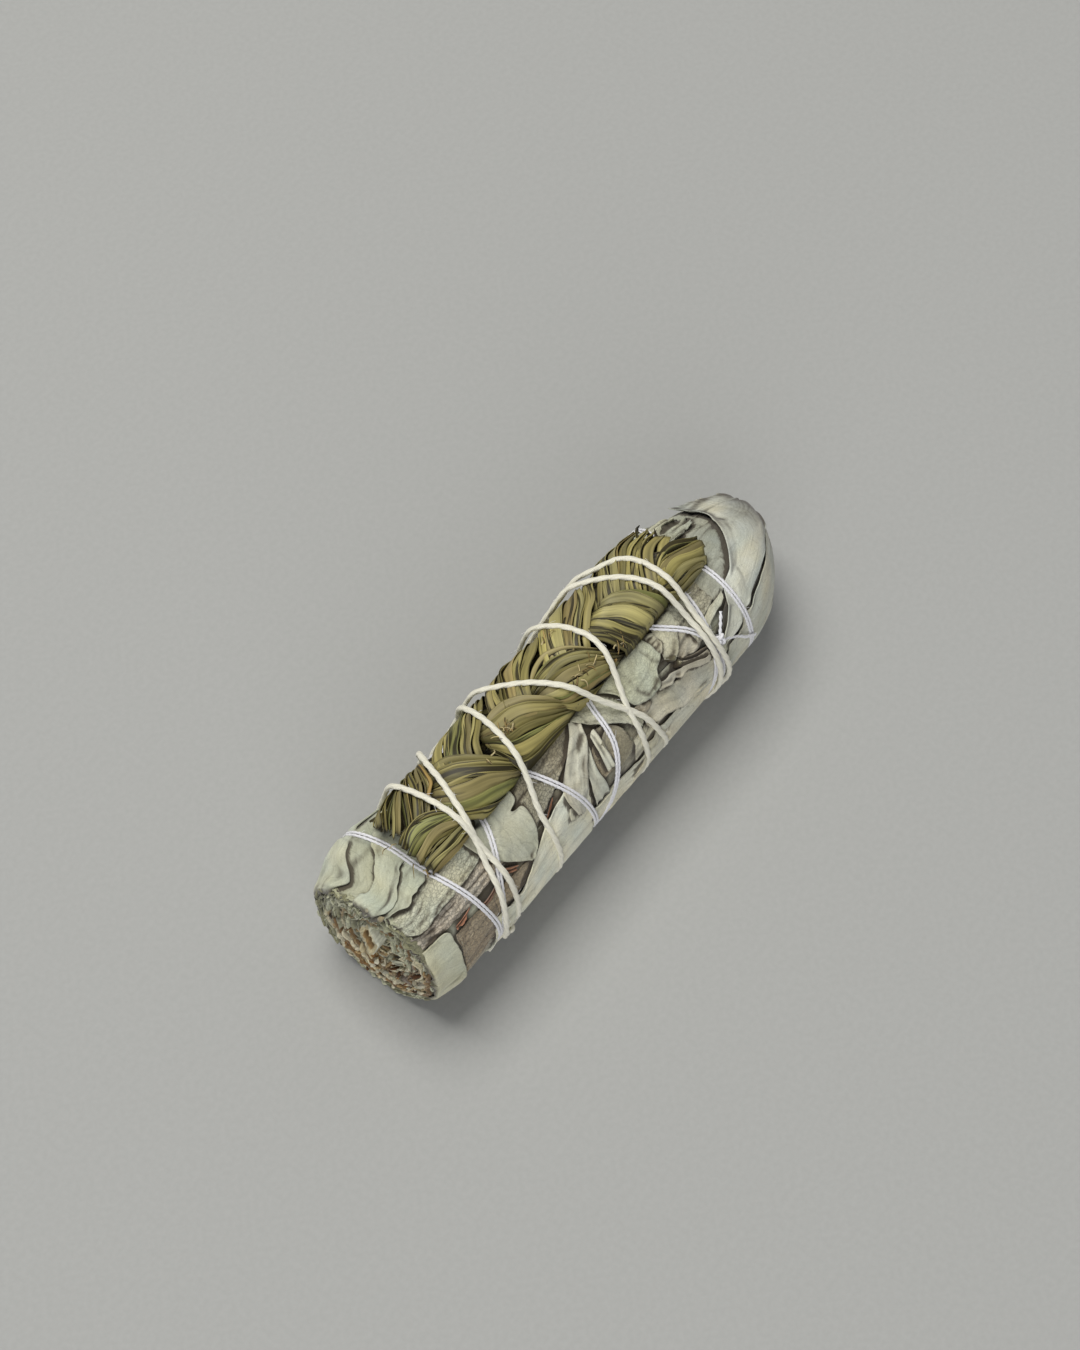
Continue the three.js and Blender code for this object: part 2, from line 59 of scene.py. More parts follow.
def turnOff(angle, centre):
    # the turn from centre to angle, between -180 and 180
    return (angle - centre + 180) % 360 - 180


def bump(angle, at):
    # a share that falls off round the bunch as exp(-(turn / spread)^2)
    return at["share"] * np.exp(-(turnOff(angle, at["angle"]) / at["spread"]) ** 2)


def sageRadius(x, angle):
    # the radius of the roll of leaves: narrower at the cut end, rounded off at the tips, with its hollows
    atCut = bunch["cutShare"] + (1 - bunch["cutShare"]) * smooth((x - bunch["cutX"]) / bunch["cutLength"])
    along = np.maximum(0, (x - bunch["tipStart"]) / (bunch["tipX"] + 0.6 - bunch["tipStart"]))
    atTip = np.sqrt(np.maximum(0, 1 - along ** bunch["tipPower"]))
    stand = bump(angle, shoulder) * np.exp(-((x - shoulder["x"]) / shoulder["length"]) ** 2)
    pressed = bump(angle, seat) + bump(angle, farSide) + bump(angle, underside)
    return bunch["radius"] * atCut * atTip * (1 + stand - pressed)


def rollRadius(x, angle):
    # the roll as its leaves fill it, slimmer than the solid on the far side of the tips
    trim = 1.9 * smooth((x - 34) / 10) * np.exp(-(turnOff(angle, 68) / 60) ** 2) + 0.5 * smooth((x - 44) / 10)
    return np.maximum(0.05, sageRadius(x, angle) - trim)


def place(x, angle, radius):
    # the point at a radius and angle round the middle line, which leans to the far side at the tips
    past = np.maximum(0, (x - bunch["leanStart"]) / (bunch["tipX"] - bunch["leanStart"]))
    turn = np.radians(angle)
    y, z = bunch["leanReach"] * past ** 2 + radius * np.sin(turn), bunch["axisHeight"] + radius * np.cos(turn)
    return np.stack(np.broadcast_arrays(x, y, z), -1)


plaitMiddle = float(sageRadius(0, plait["angle"])) + bedding + plait["rise"] + plait["halfThickness"]
plaitReach = np.degrees((plait["swing"] + plait["halfWidth"]) / plaitMiddle)
arcPerDegree = bunch["radius"] * np.pi / 180


# ---- materials
def linear(colour):
    # sRGB hex to linear: c / 12.92 below 0.04045, else ((c + 0.055) / 1.055)^2.4
    srgb = np.array([int(colour[i:i + 2], 16) for i in (1, 3, 5)]) / 255
    return np.append(np.where(srgb <= 0.04045, srgb / 12.92, ((srgb + 0.055) / 1.055) ** 2.4), 1.0)


def addNode(material, kind, settings=None, links=None):
    # One node. A setting is an attribute of it or the value of an input, and a link comes from a socket, or
    # from a node, which then gives its first output in use.
    node = material.node_tree.nodes.new("ShaderNode" + kind)
    for key, value in (settings or {}).items():
        if isinstance(key, str) and hasattr(node, key):
            setattr(node, key, value)
        else:
            node.inputs[key].default_value = value
    for key, source in (links or {}).items():
        if not isinstance(source, bpy.types.NodeSocket):
            source = next(socket for socket in source.outputs if socket.enabled)
        material.node_tree.links.new(source, node.inputs[key])
    return node


def newMaterial(name, roughness, sheen=0.0, sheenRoughness=0.5, specular=0.5):
    # an empty material with its shader, whose steady numbers stand on its own sockets
    material = bpy.data.materials.new(name)
    material.use_nodes = True
    shader = material.node_tree.nodes["Principled BSDF"]
    for key, value in (("Roughness", roughness), ("Sheen Weight", sheen), ("Sheen Roughness", sheenRoughness),
                       ("Specular IOR Level", specular)):
        shader.inputs[key].default_value = value
    return material, shader


def setRamp(node, stops):
    # the stops of a colour ramp: (place, grey or hex colour)
    elements = node.color_ramp.elements
    while len(elements) < len(stops):
        elements.new(0.5)
    for element, (at, colour) in zip(elements, stops):
        element.position = at
        element.color = linear(colour) if isinstance(colour, str) else (colour, colour, colour, 1)
    return node


def shades(low, high, start=0.3, end=0.7):
    # the settings that turn a pattern's values from start to end into shades from low to high
    return {"From Min": start, "From Max": end, "To Min": low, "To Max": high}


def shadedBy(material, colour, *factors):
    # the colour times the product of the factors
    shade = factors[0]
    for factor in factors[1:]:
        shade = addNode(material, "Math", {"operation": "MULTIPLY"}, {0: shade, 1: factor})
    return addNode(material, "VectorMath", {"operation": "SCALE"}, {0: colour, "Scale": shade})


def wornAndShaded(material, shader, colour, dark, reliefs):
    # The colour goes to the dark one where the attribute for wear and painted shade is high, and the reliefs,
    # each (strength, metres, height), lie one on another.
    wearAndShade = addNode(material, "Attribute", {"attribute_name": "wearAndShade"})
    soiled = addNode(material, "Mix", {"data_type": "RGBA", 7: linear(dark)},
                     {6: colour, 0: wearAndShade.outputs["Fac"]})
    material.node_tree.links.new(soiled.outputs[2], shader.inputs["Base Color"])
    below = {}
    for strength, distance, height in reliefs:
        below["Normal"] = addNode(material, "Bump", {"Strength": strength, "Distance": distance},
                                  {"Height": height, **below})
    material.node_tree.links.new(below["Normal"].outputs["Normal"], shader.inputs["Normal"])
    return material


def sageFelt():
    # Dried white sage leaf, felted with short hairs: a chalky grey-green face with no gloss, a raised net of
    # small veins that shows where "net" is high, fine long veins, tan blotches, browned margins, and painted
    # shade in its folds and in the hollows between leaves.
    material, shader = newMaterial("driedSageFelt", 0.92, sheen=0.25, sheenRoughness=0.6, specular=0.15)
    tint = addNode(material, "Attribute", {"attribute_name": "tint"})
    net = addNode(material, "Attribute", {"attribute_name": "net"}).outputs["Fac"]
    onObject = addNode(material, "TexCoord").outputs["Object"]  # metres
    onLeaf = addNode(material, "UVMap", {"uv_map": "UVMap"})  # millimetres along and across the leaf
    # blotches 3 to 8 mm wide
    blotch = addNode(material, "TexNoise", {"Scale": 190.0, "Detail": 4.0, "Roughness": 0.6},
                     {"Vector": onObject})
    blotchAmount = setRamp(addNode(material, "ValToRGB", links={"Fac": blotch}), [(0.36, 0.0), (0.68, 1.0)])
    tanned = addNode(material, "Mix", {"data_type": "RGBA", "blend_type": "MULTIPLY", 7: linear("#f1eee4")},
                     {6: tint, 0: blotchAmount})
    # the net: cells about 0.6 mm, longer along the leaf, their furrows darker where the leaf is wrinkled
    bent = addNode(material, "TexNoise", {"Scale": 0.9, "Detail": 2.0}, {"Vector": onLeaf})
    shifted = addNode(material, "VectorMath", {"operation": "MULTIPLY_ADD", 1: (0.9, 0.9, 0)},
                      {0: bent.outputs["Color"], 2: onLeaf})
    stretched = addNode(material, "Mapping", {"Scale": (0.75, 1.25, 1)}, {"Vector": shifted})
    netCells = addNode(material, "TexVoronoi", {"feature": "DISTANCE_TO_EDGE", "Scale": 1.6},
                       {"Vector": stretched})
    furrow = setRamp(addNode(material, "ValToRGB", links={"Fac": netCells}),
                     [(0.0, 0.0), (0.07, 0.72), (0.16, 0.95), (0.4, 1.0)])
    furrowShade = addNode(material, "MapRange", shades(0.4, 1.06, 0.0, 1.0), {"Value": furrow})
    netShade = addNode(material, "Mix", {"data_type": "FLOAT", 2: 1.0}, {0: net, 3: furrowShade})
    # branching veins 2 to 5 mm apart, and long fine ones, 0.7 mm apart across and many times that along
    branching = addNode(material, "Mapping", {"Scale": (0.2, 0.42, 1), "Rotation": (0, 0, 0.3)},
                        {"Vector": shifted})
    branches = addNode(material, "TexVoronoi", {"feature": "DISTANCE_TO_EDGE", "Scale": 1.0},
                       {"Vector": branching})
    branchShade = addNode(material, "MapRange", shades(0.78, 1.0, 0.0, 0.022), {"Value": branches})
    longWays = addNode(material, "Mapping", {"Scale": (0.07, 1.5, 1)}, {"Vector": shifted})
    veins = addNode(material, "TexNoise", {"Scale": 1.0, "Detail": 3.0, "Roughness": 0.65},
                    {"Vector": longWays})
    veinShade = addNode(material, "MapRange", shades(0.9, 1.1), {"Value": veins})
    # felt of hairs, drawn as coarse as 0.25 mm so that it shows
    felt = addNode(material, "TexNoise", {"Scale": 3600.0, "Detail": 3.0, "Roughness": 0.7},
                   {"Vector": onObject})
    feltShade = addNode(material, "MapRange", shades(0.9, 1.12), {"Value": felt})
    netHeight = addNode(material, "Math", {"operation": "MULTIPLY"}, {0: furrow, 1: net})
    shaded = shadedBy(material, tanned, netShade, veinShade, feltShade, branchShade)
    return wornAndShaded(material, shader, shaded, "#3a2f22",
                [(1.0, 0.00007, netHeight), (0.8, 0.00016, veins), (0.6, 0.00006, felt)])


def sageWood():
    # Dry woody sage stem, snapped and rubbed: brown ridged bark, straw-coloured fibres and soft pale pith at
    # the cut, all matt. The tint attribute says which.
    material, shader = newMaterial("drySageWood", 0.85, sheen=0.05, specular=0.25)
    tint = addNode(material, "Attribute", {"attribute_name": "tint"})
    onObject = addNode(material, "TexCoord").outputs["Object"]
    # fibres about 0.4 mm apart and several millimetres long, along X
    fibreWays = addNode(material, "Mapping", {"Scale": (0.12, 1, 1)}, {"Vector": onObject})
    fibre = addNode(material, "TexNoise", {"Scale": 2600.0, "Detail": 3.0, "Roughness": 0.65},
                    {"Vector": fibreWays})
    fibreShade = addNode(material, "MapRange", shades(0.62, 1.2), {"Value": fibre})
    spots = addNode(material, "TexNoise", {"Scale": 700.0, "Detail": 3.0}, {"Vector": onObject})
    spotShade = addNode(material, "MapRange", shades(0.8, 1.12), {"Value": spots})
    return wornAndShaded(material, shader, shadedBy(material, tint, fibreShade, spotShade), "#2a1c12",
                [(0.8, 0.00015, fibre)])


def driedSweetgrass():
    # Dried sweetgrass blade: smooth and slightly waxy, olive going to straw, with parallel veins 0.2 to
    # 0.4 mm apart that catch the light, painted shade along its edges and where it dips under other blades,
    # and brown at its cut ends.
    material, shader = newMaterial("driedSweetgrass", 0.52, sheen=0.0, specular=0.4)
    tint = addNode(material, "Attribute", {"attribute_name": "tint"})
    onBlade = addNode(material, "UVMap", {"uv_map": "UVMap"})
    veinWays = addNode(material, "Mapping", {"Scale": (0.04, 2.6, 1)}, {"Vector": onBlade})
    veins = addNode(material, "TexNoise", {"Scale": 1.0, "Detail": 2.0, "Roughness": 0.6},
                    {"Vector": veinWays})
    veinShade = addNode(material, "MapRange", shades(0.55, 1.28), {"Value": veins})
    # strips about 1 mm wide where the blade has faded to straw, and dark splits between its fibres
    broadWays = addNode(material, "Mapping", {"Scale": (0.03, 0.7, 1)}, {"Vector": onBlade})
    broad = addNode(material, "TexNoise", {"Scale": 1.0, "Detail": 2.0}, {"Vector": broadWays})
    straw = setRamp(addNode(material, "ValToRGB", links={"Fac": broad}), [(0.5, 0.0), (0.72, 0.5)])
    faded = addNode(material, "Mix", {"data_type": "RGBA", 7: linear("#b3a567")}, {6: tint, 0: straw})
    splitWays = addNode(material, "Mapping", {"Scale": (0.045, 1.5, 1), "Location": (3.1, 7.7, 0)},
                        {"Vector": onBlade})
    splits = addNode(material, "TexNoise", {"Scale": 1.0, "Detail": 3.0, "Roughness": 0.55},
                     {"Vector": splitWays})
    splitAmount = setRamp(addNode(material, "ValToRGB", links={"Fac": splits}), [(0.55, 0.0), (0.6, 0.9)])
    split = addNode(material, "Mix", {"data_type": "RGBA", 7: linear("#221c0a")},
                    {6: shadedBy(material, faded, veinShade), 0: splitAmount})
    return wornAndShaded(material, shader, split, "#1e1608", [(0.8, 0.00012, veins)])


def cotton(name, roughness, sheen):
    # Soft spun cotton, matt with a faint halo: fibres wind round each ply, so fine slanting lines of light
    # and shade lie about 0.2 mm apart along it. UV's first axis runs along the cord in millimetres.
    material, shader = newMaterial(name, roughness, sheen=sheen, specular=0.2)
    tint = addNode(material, "Attribute", {"attribute_name": "tint"})
    onCord = addNode(material, "UVMap", {"uv_map": "UVMap"})
    fibreWays = addNode(material, "Mapping", {"Scale": (0.5, 3.2, 1), "Rotation": (0, 0, 0.35)},
                        {"Vector": onCord})
    fibre = addNode(material, "TexNoise", {"Scale": 1.6, "Detail": 3.0, "Roughness": 0.7},
                    {"Vector": fibreWays})
    fibreShade = addNode(material, "MapRange", shades(0.86, 1.06), {"Value": fibre})
    return wornAndShaded(material, shader, shadedBy(material, tint, fibreShade), "#8b8272", [(0.8, 0.00012, fibre)])


finish = {"leaf": sageFelt(), "wood": sageWood(), "grass": driedSweetgrass(),
          "thread": cotton("whiteCottonThread", 0.85, 0.4), "string": cotton("creamCottonString", 0.9, 0.3)}
print("materials are made")


# ---- meshes from grids of points
def closedSheet(outer, inner, uv, tint, wearAndShade, net):
    # A thin closed sheet: outer is a grid of points, inner every other row and column of it moved inwards,
    # and the rim between them is a strip of three triangles for each edge of the inner grid.
    rows, columns = outer.shape[:2]
    fine = np.arange(rows * columns).reshape(rows, columns)
    half = fine[::2, ::2]
    coarse = rows * columns + np.arange(half.size).reshape(half.shape)
    quads = [np.stack([g[:-1, :-1], g[1:, :-1], g[1:, 1:], g[:-1, 1:]], -1).reshape(-1, 4)
             for g in (fine, coarse)]
    rim = [np.concatenate([g[0, :-1], g[:-1, -1], g[-1, :0:-1], g[:0:-1, 0]]) for g in (fine, coarse)]
    first, second, third = rim[0][::2], rim[0][1::2], np.roll(rim[0], -2)[::2]
    near, far = rim[1], np.roll(rim[1], -1)
    strips = (first, second, near), (second, third, far), (second, far, near)
    tris = np.concatenate([np.stack(strip, 1) for strip in strips])
    both = lambda a: np.concatenate([a.reshape(rows * columns, -1), a[::2, ::2].reshape(half.size, -1)])
    points = np.concatenate([outer.reshape(-1, 3), inner.reshape(-1, 3)])
    return outwards({"points": points, "quads": np.concatenate([quads[0], quads[1][:, ::-1]]), "tris": tris,
                     "uv": both(uv), "tint": both(tint), "wearAndShade": both(wearAndShade)[:, 0], "net": both(net)[:, 0]})


def closedTube(rings, tint, wearAndShade):
    # A closed body through rings of points, each end drawn in to its middle. UV is the length along the
    # rings and the length round them, in millimetres, shifted by where it starts so that no two are alike.
    count, sides = rings.shape[:2]
    grid = np.arange(count * sides).reshape(count, sides)
    around = np.roll(grid, -1, 1)
    quads = np.stack([grid[:-1], around[:-1], around[1:], grid[1:]], -1).reshape(-1, 4)
    ends = [count * sides, count * sides + 1]
    tris = np.concatenate([np.stack([np.full(sides, ends[0]), around[0], grid[0]], 1),
                           np.stack([np.full(sides, ends[1]), grid[-1], around[-1]], 1)])
    points = np.concatenate([rings.reshape(-1, 3), rings[[0, -1]].mean(1)])
    step = np.linalg.norm(np.diff(rings.mean(1), axis=0), axis=1)
    along = np.concatenate([[0], np.cumsum(step)])
    girth = np.linalg.norm(rings[0] - np.roll(rings[0], -1, 0), axis=1).sum()
    uv = np.stack(np.broadcast_arrays(along[:, None], np.linspace(0, girth, sides)[None]), -1)
    uv = np.concatenate([uv.reshape(-1, 2), [[along[0], 0], [along[-1], 0]]]) + 3.1 * np.abs(rings[0, 0, :2])
    tint = np.broadcast_to(tint, (count, sides, 4)).reshape(-1, 4)
    wearAndShade = np.broadcast_to(wearAndShade, (count, sides)).reshape(-1)
    return outwards({"points": points, "quads": quads, "tris": tris, "uv": uv,
                     "tint": np.concatenate([tint, tint[[0, -1]]]), "wearAndShade": np.append(wearAndShade, wearAndShade[[0, -1]]),
                     "net": np.zeros(len(points))})


def outwards(part):
    # turns every face round where the volume, the sum of a . (b x c) over the triangles, is negative
    q, t, p = part["quads"], part["tris"], part["points"] - part["points"].mean(0)
    corners = np.concatenate([q[:, [0, 1, 2]], q[:, [0, 2, 3]], t])
    volume = np.einsum("ij,ij->", p[corners[:, 0]], np.cross(p[corners[:, 1]], p[corners[:, 2]]))
    if volume < 0:
        part["quads"], part["tris"] = q[:, ::-1], t[:, ::-1]
    return part


def addPiece(name, parts, material, nodes):
    # one object from its parts, in metres, with its colours, wear and UV
    offsets = np.cumsum([0] + [len(part["points"]) for part in parts])
    quads = np.concatenate([part["quads"] + offset for part, offset in zip(parts, offsets)])
    tris = np.concatenate([part["tris"] + offset for part, offset in zip(parts, offsets)])
    points, uv, tint, wearAndShade, net = (np.concatenate([part[key] for part in parts])
                                   for key in ("points", "uv", "tint", "wearAndShade", "net"))
    mesh = bpy.data.meshes.new(name)
    mesh.vertices.add(len(points))
    mesh.vertices.foreach_set("co", (points * 0.001).astype(np.float32).ravel())
    corners = np.concatenate([quads.ravel(), tris.ravel()]).astype(np.int32)
    starts = np.concatenate([np.arange(len(quads)) * 4, 4 * len(quads) + np.arange(len(tris)) * 3])
    mesh.loops.add(len(corners))
    mesh.loops.foreach_set("vertex_index", corners)
    mesh.polygons.add(len(starts))
    mesh.polygons.foreach_set("loop_start", starts.astype(np.int32))
    mesh.update(calc_edges=True)
    mesh.shade_smooth()
    mesh.uv_layers.new(name="UVMap").data.foreach_set("uv", uv[corners].astype(np.float32).ravel())
    for key, kind, field, values in (("tint", "FLOAT_COLOR", "color", tint), ("wearAndShade", "FLOAT", "value", wearAndShade),
                                     ("net", "FLOAT", "value", net)):
        mesh.attributes.new(key, kind, "POINT").data.foreach_set(field, values.astype(np.float32).ravel())
    mesh.validate()
    mesh.materials.append(material)
    piece = bpy.data.objects.new(name, mesh)
    bpy.context.scene.collection.objects.link(piece)
    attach(piece, "root")
    if nodes:
        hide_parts(*nodes)
    print(f"{name}: {2 * len(quads) + len(tris)} triangles")
    return 2 * len(quads) + len(tris)


def throughPoints(points, perSpan=14):
    # a rounded line through points: the Catmull-Rom cubic of each four neighbours
    points = np.asarray(points, float)
    padded = np.concatenate([[2 * points[0] - points[1]], points, [2 * points[-1] - points[-2]]])
    s = np.linspace(0, len(points) - 1, perSpan * (len(points) - 1) + 1)
    i = np.minimum(s.astype(int), len(points) - 2)
    t = (s - i)[:, None]
    a, b, c, d = (padded[i + k] for k in range(4))
    square, cube = 2 * a - 5 * b + 4 * c - d, 3 * b - a - 3 * c + d
    return 0.5 * (2 * b + (c - a) * t + square * t ** 2 + cube * t ** 3)


def evenly(line, count, scale=(1.0, arcPerDegree)):
    # count points at equal steps of length along a line, its two axes scaled to millimetres
    length = np.concatenate([[0], np.cumsum(np.linalg.norm(np.diff(line, axis=0) * scale, axis=1))])
    at = np.linspace(0, length[-1], count)
    return np.stack([np.interp(at, length, line[:, k]) for k in range(line.shape[1])], 1), length[-1]


def ripples(rng, count, shortest, longest, stretch=1.0):
    # a wavy height of about -1 to 1 over (along, across) in mm: cosines of random direction and wavelength,
    # the long ones higher, stretched along the first axis
    length = np.exp(rng.uniform(np.log(shortest), np.log(longest), count))
    turn, phase = rng.uniform(0, 2 * np.pi, (2, count))
    size = length / np.sqrt((length ** 2).sum() / 2) / 1.5
    kAlong, kAcross = 2 * np.pi * np.cos(turn) / length / stretch, 2 * np.pi * np.sin(turn) / length
    return lambda p, q: sum(size[i] * np.cos(kAlong[i] * p + kAcross[i] * q + phase[i]) for i in range(count))


def jagged(rng, distance, spacing, size):
    # a torn edge: straight steps between random depths of 0 to size, about spacing mm apart
    knots = np.cumsum(rng.uniform(0.3, 1.7, int(distance.max() / spacing) + 6) * spacing) - 2 * spacing
    return np.interp(distance, knots, rng.uniform(0, size, len(knots)))


def outFrom(angle, leaning=0.0):
    # the way out of the roll at an angle round it, leaning a little along X
    turn = np.radians(angle)
    return np.stack([leaning + 0 * turn, np.sin(turn), np.cos(turn)], -1)


def ringOf(sides, flatness=1.0):
    # the corners of a round section of radius 1, pressed to a share of its height
    around = np.linspace(0, 2 * np.pi, sides, endpoint=False)
    return np.stack([np.cos(around), flatness * np.sin(around)], 1)


def carry(points, outs, section):
    # a section of (across, out) offsets carried along a line: section is one ring, or a ring for each point
    along = np.gradient(points, axis=0)
    along /= np.linalg.norm(along, axis=1, keepdims=True)
    across = np.cross(along, outs)
    across /= np.linalg.norm(across, axis=1, keepdims=True)
    up = np.cross(across, along)
    section = np.broadcast_to(section, (len(points),) + section.shape[-2:])
    return points[:, None] + section[..., :1] * across[:, None] + section[..., 1:] * up[:, None]


# ---- routes of the two bindings: angle turned so far and place along the bunch
threadRoute = [
    [-112, -41.5], [-150, -43.6], [-180, -44], [-210, -44.4], [-290, -46], [-335, -45.3], [-372, -45.9],
    [-410, -43.7], [-439, -42], [-470, -40.4], [-505, -36], [-540, -35], [-570, -33], [-650, -24],
    [-708, -21], [-738, -19.6], [-783, -14.8], [-829, -12], [-870, -9.4], [-900, -9], [-930, -7.4],
    [-1010, 12], [-1068, 16], [-1097, 18.5], [-1131, 25], [-1189, 27.4], [-1230, 29.8], [-1260, 30.5],
    [-1290, 31.2], [-1370, 37.3], [-1428, 35], [-1463, 35], [-1521, 35.6], [-1549, 36.6], [-1590, 35.9],
    [-1620, 35.5], [-1650, 35], [-1730, 33], [-1788, 29.5], [-1817, 28.2], [-1844, 26.6], [-1862, 25.6],
    [-1909, 22.4], [-1950, 16], [-1980, 15], [-2010, 14], [-2090, 9], [-2148, 3.5], [-2182, -1.4],
    [-2216, -3.5], [-2258, -9.1], [-2310, -16.6], [-2340, -17.5], [-2370, -18.2], [-2450, -22],
    [-2508, -29], [-2542, -32.3], [-2583, -38.5], [-2629, -41.3]]
stringRoute = [
    [-116, -38], [-150, -40], [-180, -40.3], [-210, -40.3], [-290, -37.8], [-338, -37], [-377, -36.5],
    [-426, -36.2], [-469, -35.6], [-505, -31.8], [-540, -31.5], [-570, -30], [-650, -18], [-687, -12.3],
    [-712, -6.4], [-738, -1.5], [-771, 4.4], [-795, 6.7], [-829, 9.4], [-870, 8.8], [-900, 8.5],
    [-930, 8.2], [-1010, 6], [-1045, 15.4], [-1072, 21.7], [-1099, 23.9], [-1134, 24.5], [-1189, 24.4],
    [-1230, 19.6], [-1260, 19], [-1290, 18], [-1370, 9], [-1405, 18.5], [-1422, 25], [-1453, 26],
    [-1494, 25.9], [-1549, 28], [-1590, 25.4], [-1620, 25], [-1650, 23.6], [-1730, 3.5], [-1784, 6.5],
    [-1803, 6.8], [-1839, 3.4], [-1868, 2.7], [-1909, 2.6], [-1950, -1.4], [-1980, -2], [-2010, -2.8],
    [-2090, -14.5], [-2143, -17.9], [-2178, -21], [-2211, -23.7], [-2269, -23.4], [-2310, -24.3],
    [-2340, -24.5], [-2370, -24.7], [-2450, -25.5], [-2502, -31.7], [-2536, -36], [-2605, -40.6],
    [-2636, -38.6]]
thread = {"radius": 0.33, "apart": 0.33, "height": 0.34, "step": 0.5, "sides": 8, "plies": 2,
          "turnLength": 2.6, "colour": "#f8f8fc"}
string = {"halfWidth": 0.62, "halfHeight": 0.48, "height": 0.42, "step": 0.4, "sides": 18, "plies": 3,
          "turnLength": 8.0, "colour": "#f3f0de"}
floorGap = 0.08  # from a binding to the floor
noLimit = 1e3


def outerRadius(x, angle):
    # the leaves, or the crown of the plait where it covers them
    off = np.abs(turnOff(angle, plait["angle"])) / plaitReach
    crown = (plaitMiddle + plait["halfThickness"] * np.sqrt(np.maximum(0, 1 - off ** 4))
             + plait["rise"] * smooth((1.12 - off) / 0.45))
    inPlait = (off < 1) & (x > plait["startX"] - 1) & (x < plait["endX"] + 2)
    return np.where(inPlait, np.maximum(crown - 0.25, sageRadius(x, angle)), sageRadius(x, angle))


def tautRadius(x, angle):
    # the highest chord between the outer face some degrees before and some degrees after
    best = outerRadius(x, angle)
    steps = np.arange(5, 85, 5)
    for before in steps:
        for after in steps:
            p, q = outerRadius(x, angle - before), outerRadius(x, angle + after)
            chord = p * np.sin(np.radians(before)) + q * np.sin(np.radians(after))
            best = np.maximum(best, p * q * np.sin(np.radians(before + after)) / chord)
    return best


def offFloor(angle, radius, halfHeight):
    # under the bunch a binding runs flat, just over the surface that the bunch lies on
    down = -np.cos(np.radians(angle))
    most = bunch["axisHeight"] - halfHeight - floorGap
    return np.where(radius * down > most, most / np.maximum(down, 0.01), radius)


def routeLine(route, step):
    line = throughPoints(route)
    count = int(evenly(line, 2, (arcPerDegree, 1.0))[1] / step)
    return evenly(line, count, (arcPerDegree, 1.0))[0]


def soften(values, reach):
    # the running mean over reach steps each way
    padded = np.pad(values, reach, mode="edge")
    return np.convolve(padded, np.ones(2 * reach + 1) / (2 * reach + 1), mode="valid")


threadLine = routeLine(threadRoute, thread["step"])
stringLine = routeLine(stringRoute, string["step"])
threadRadius = offFloor(threadLine[:, 0], sageRadius(threadLine[:, 1], threadLine[:, 0]) + thread["height"],
                        thread["radius"])
acrossGap = turnOff(stringLine[:, :1], threadLine[None, :, 0]) * arcPerDegree
nearThread = np.hypot(acrossGap, stringLine[:, 1:] - threadLine[None, :, 1]).min(1)
lifted = (sageRadius(stringLine[:, 1], stringLine[:, 0]) + string["height"]
          + (thread["radius"] + 0.45) * (1 - smooth((nearThread - 0.9) / 2.6)))
stringRadius = np.maximum(tautRadius(stringLine[:, 1], stringLine[:, 0]) + string["height"] + 0.05, lifted)
stringRadius = offFloor(stringLine[:, 0], soften(stringRadius, 3), string["halfHeight"])
print("the bindings are routed")

# ---- a map of the leaves' height over (x, angle), which each leaf is laid on
chart = {"step": 0.3, "angleStep": 1.0}
mapX = np.arange(-60.0, 60.0, chart["step"])
mapAngle = np.arange(-180.0, 180.0, chart["angleStep"])
gridX, gridAngle = np.meshgrid(mapX, mapAngle, indexing="ij")
waveX = np.fft.fftfreq(len(mapX), chart["step"])[:, None]
waveAngle = np.fft.rfftfreq(len(mapAngle), chart["angleStep"] * arcPerDegree)[None]


def blurMap(field, reach):
    # Gaussian blur of reach mm, by its Fourier transform
    soft = np.exp(-2 * (np.pi * reach) ** 2 * (waveX ** 2 + waveAngle ** 2))
    return np.fft.irfft2(np.fft.rfft2(field) * soft, s=field.shape)


def spreadMap(field, cells):
    # the highest value within some cells, first round the bunch and then along it
    best = field
    for k in range(1, cells + 1):
        best = np.maximum(best, np.maximum(np.roll(field, k, 1), np.roll(field, -k, 1)))
    edge = np.pad(best, ((cells, cells), (0, 0)), mode="edge")
    return np.max([edge[k:k + len(field)] for k in range(2 * cells + 1)], axis=0)


def sampleMap(field, x, angle):
    # linear between the four cells round a place
    i = np.clip((x - mapX[0]) / chart["step"], 0, len(mapX) - 1.001)
    j = (angle - mapAngle[0]) / chart["angleStep"]
    i0, j0 = i.astype(int), np.floor(j).astype(int)
    fi, fj = i - i0, j - j0
    j0, j1 = j0 % len(mapAngle), (j0 + 1) % len(mapAngle)
    low = field[i0, j0] * (1 - fj) + field[i0, j1] * fj
    return low * (1 - fi) + (field[i0 + 1, j0] * (1 - fj) + field[i0 + 1, j1] * fj) * fi


def finer(a):
    # a grid with a point put in the middle of each step
    for axis in (0, 1):
        a = np.moveaxis(a, axis, 0)
        wide = np.empty((2 * len(a) - 1,) + a.shape[1:])
        wide[::2], wide[1::2] = a, (a[1:] + a[:-1]) / 2
        a = np.moveaxis(wide, 0, axis)
    return a


def cells(x, angle):
    i = np.clip(np.rint((x - mapX[0]) / chart["step"]).astype(int), 0, len(mapX) - 1)
    return i, np.rint((angle - mapAngle[0]) / chart["angleStep"]).astype(int) % len(mapAngle)


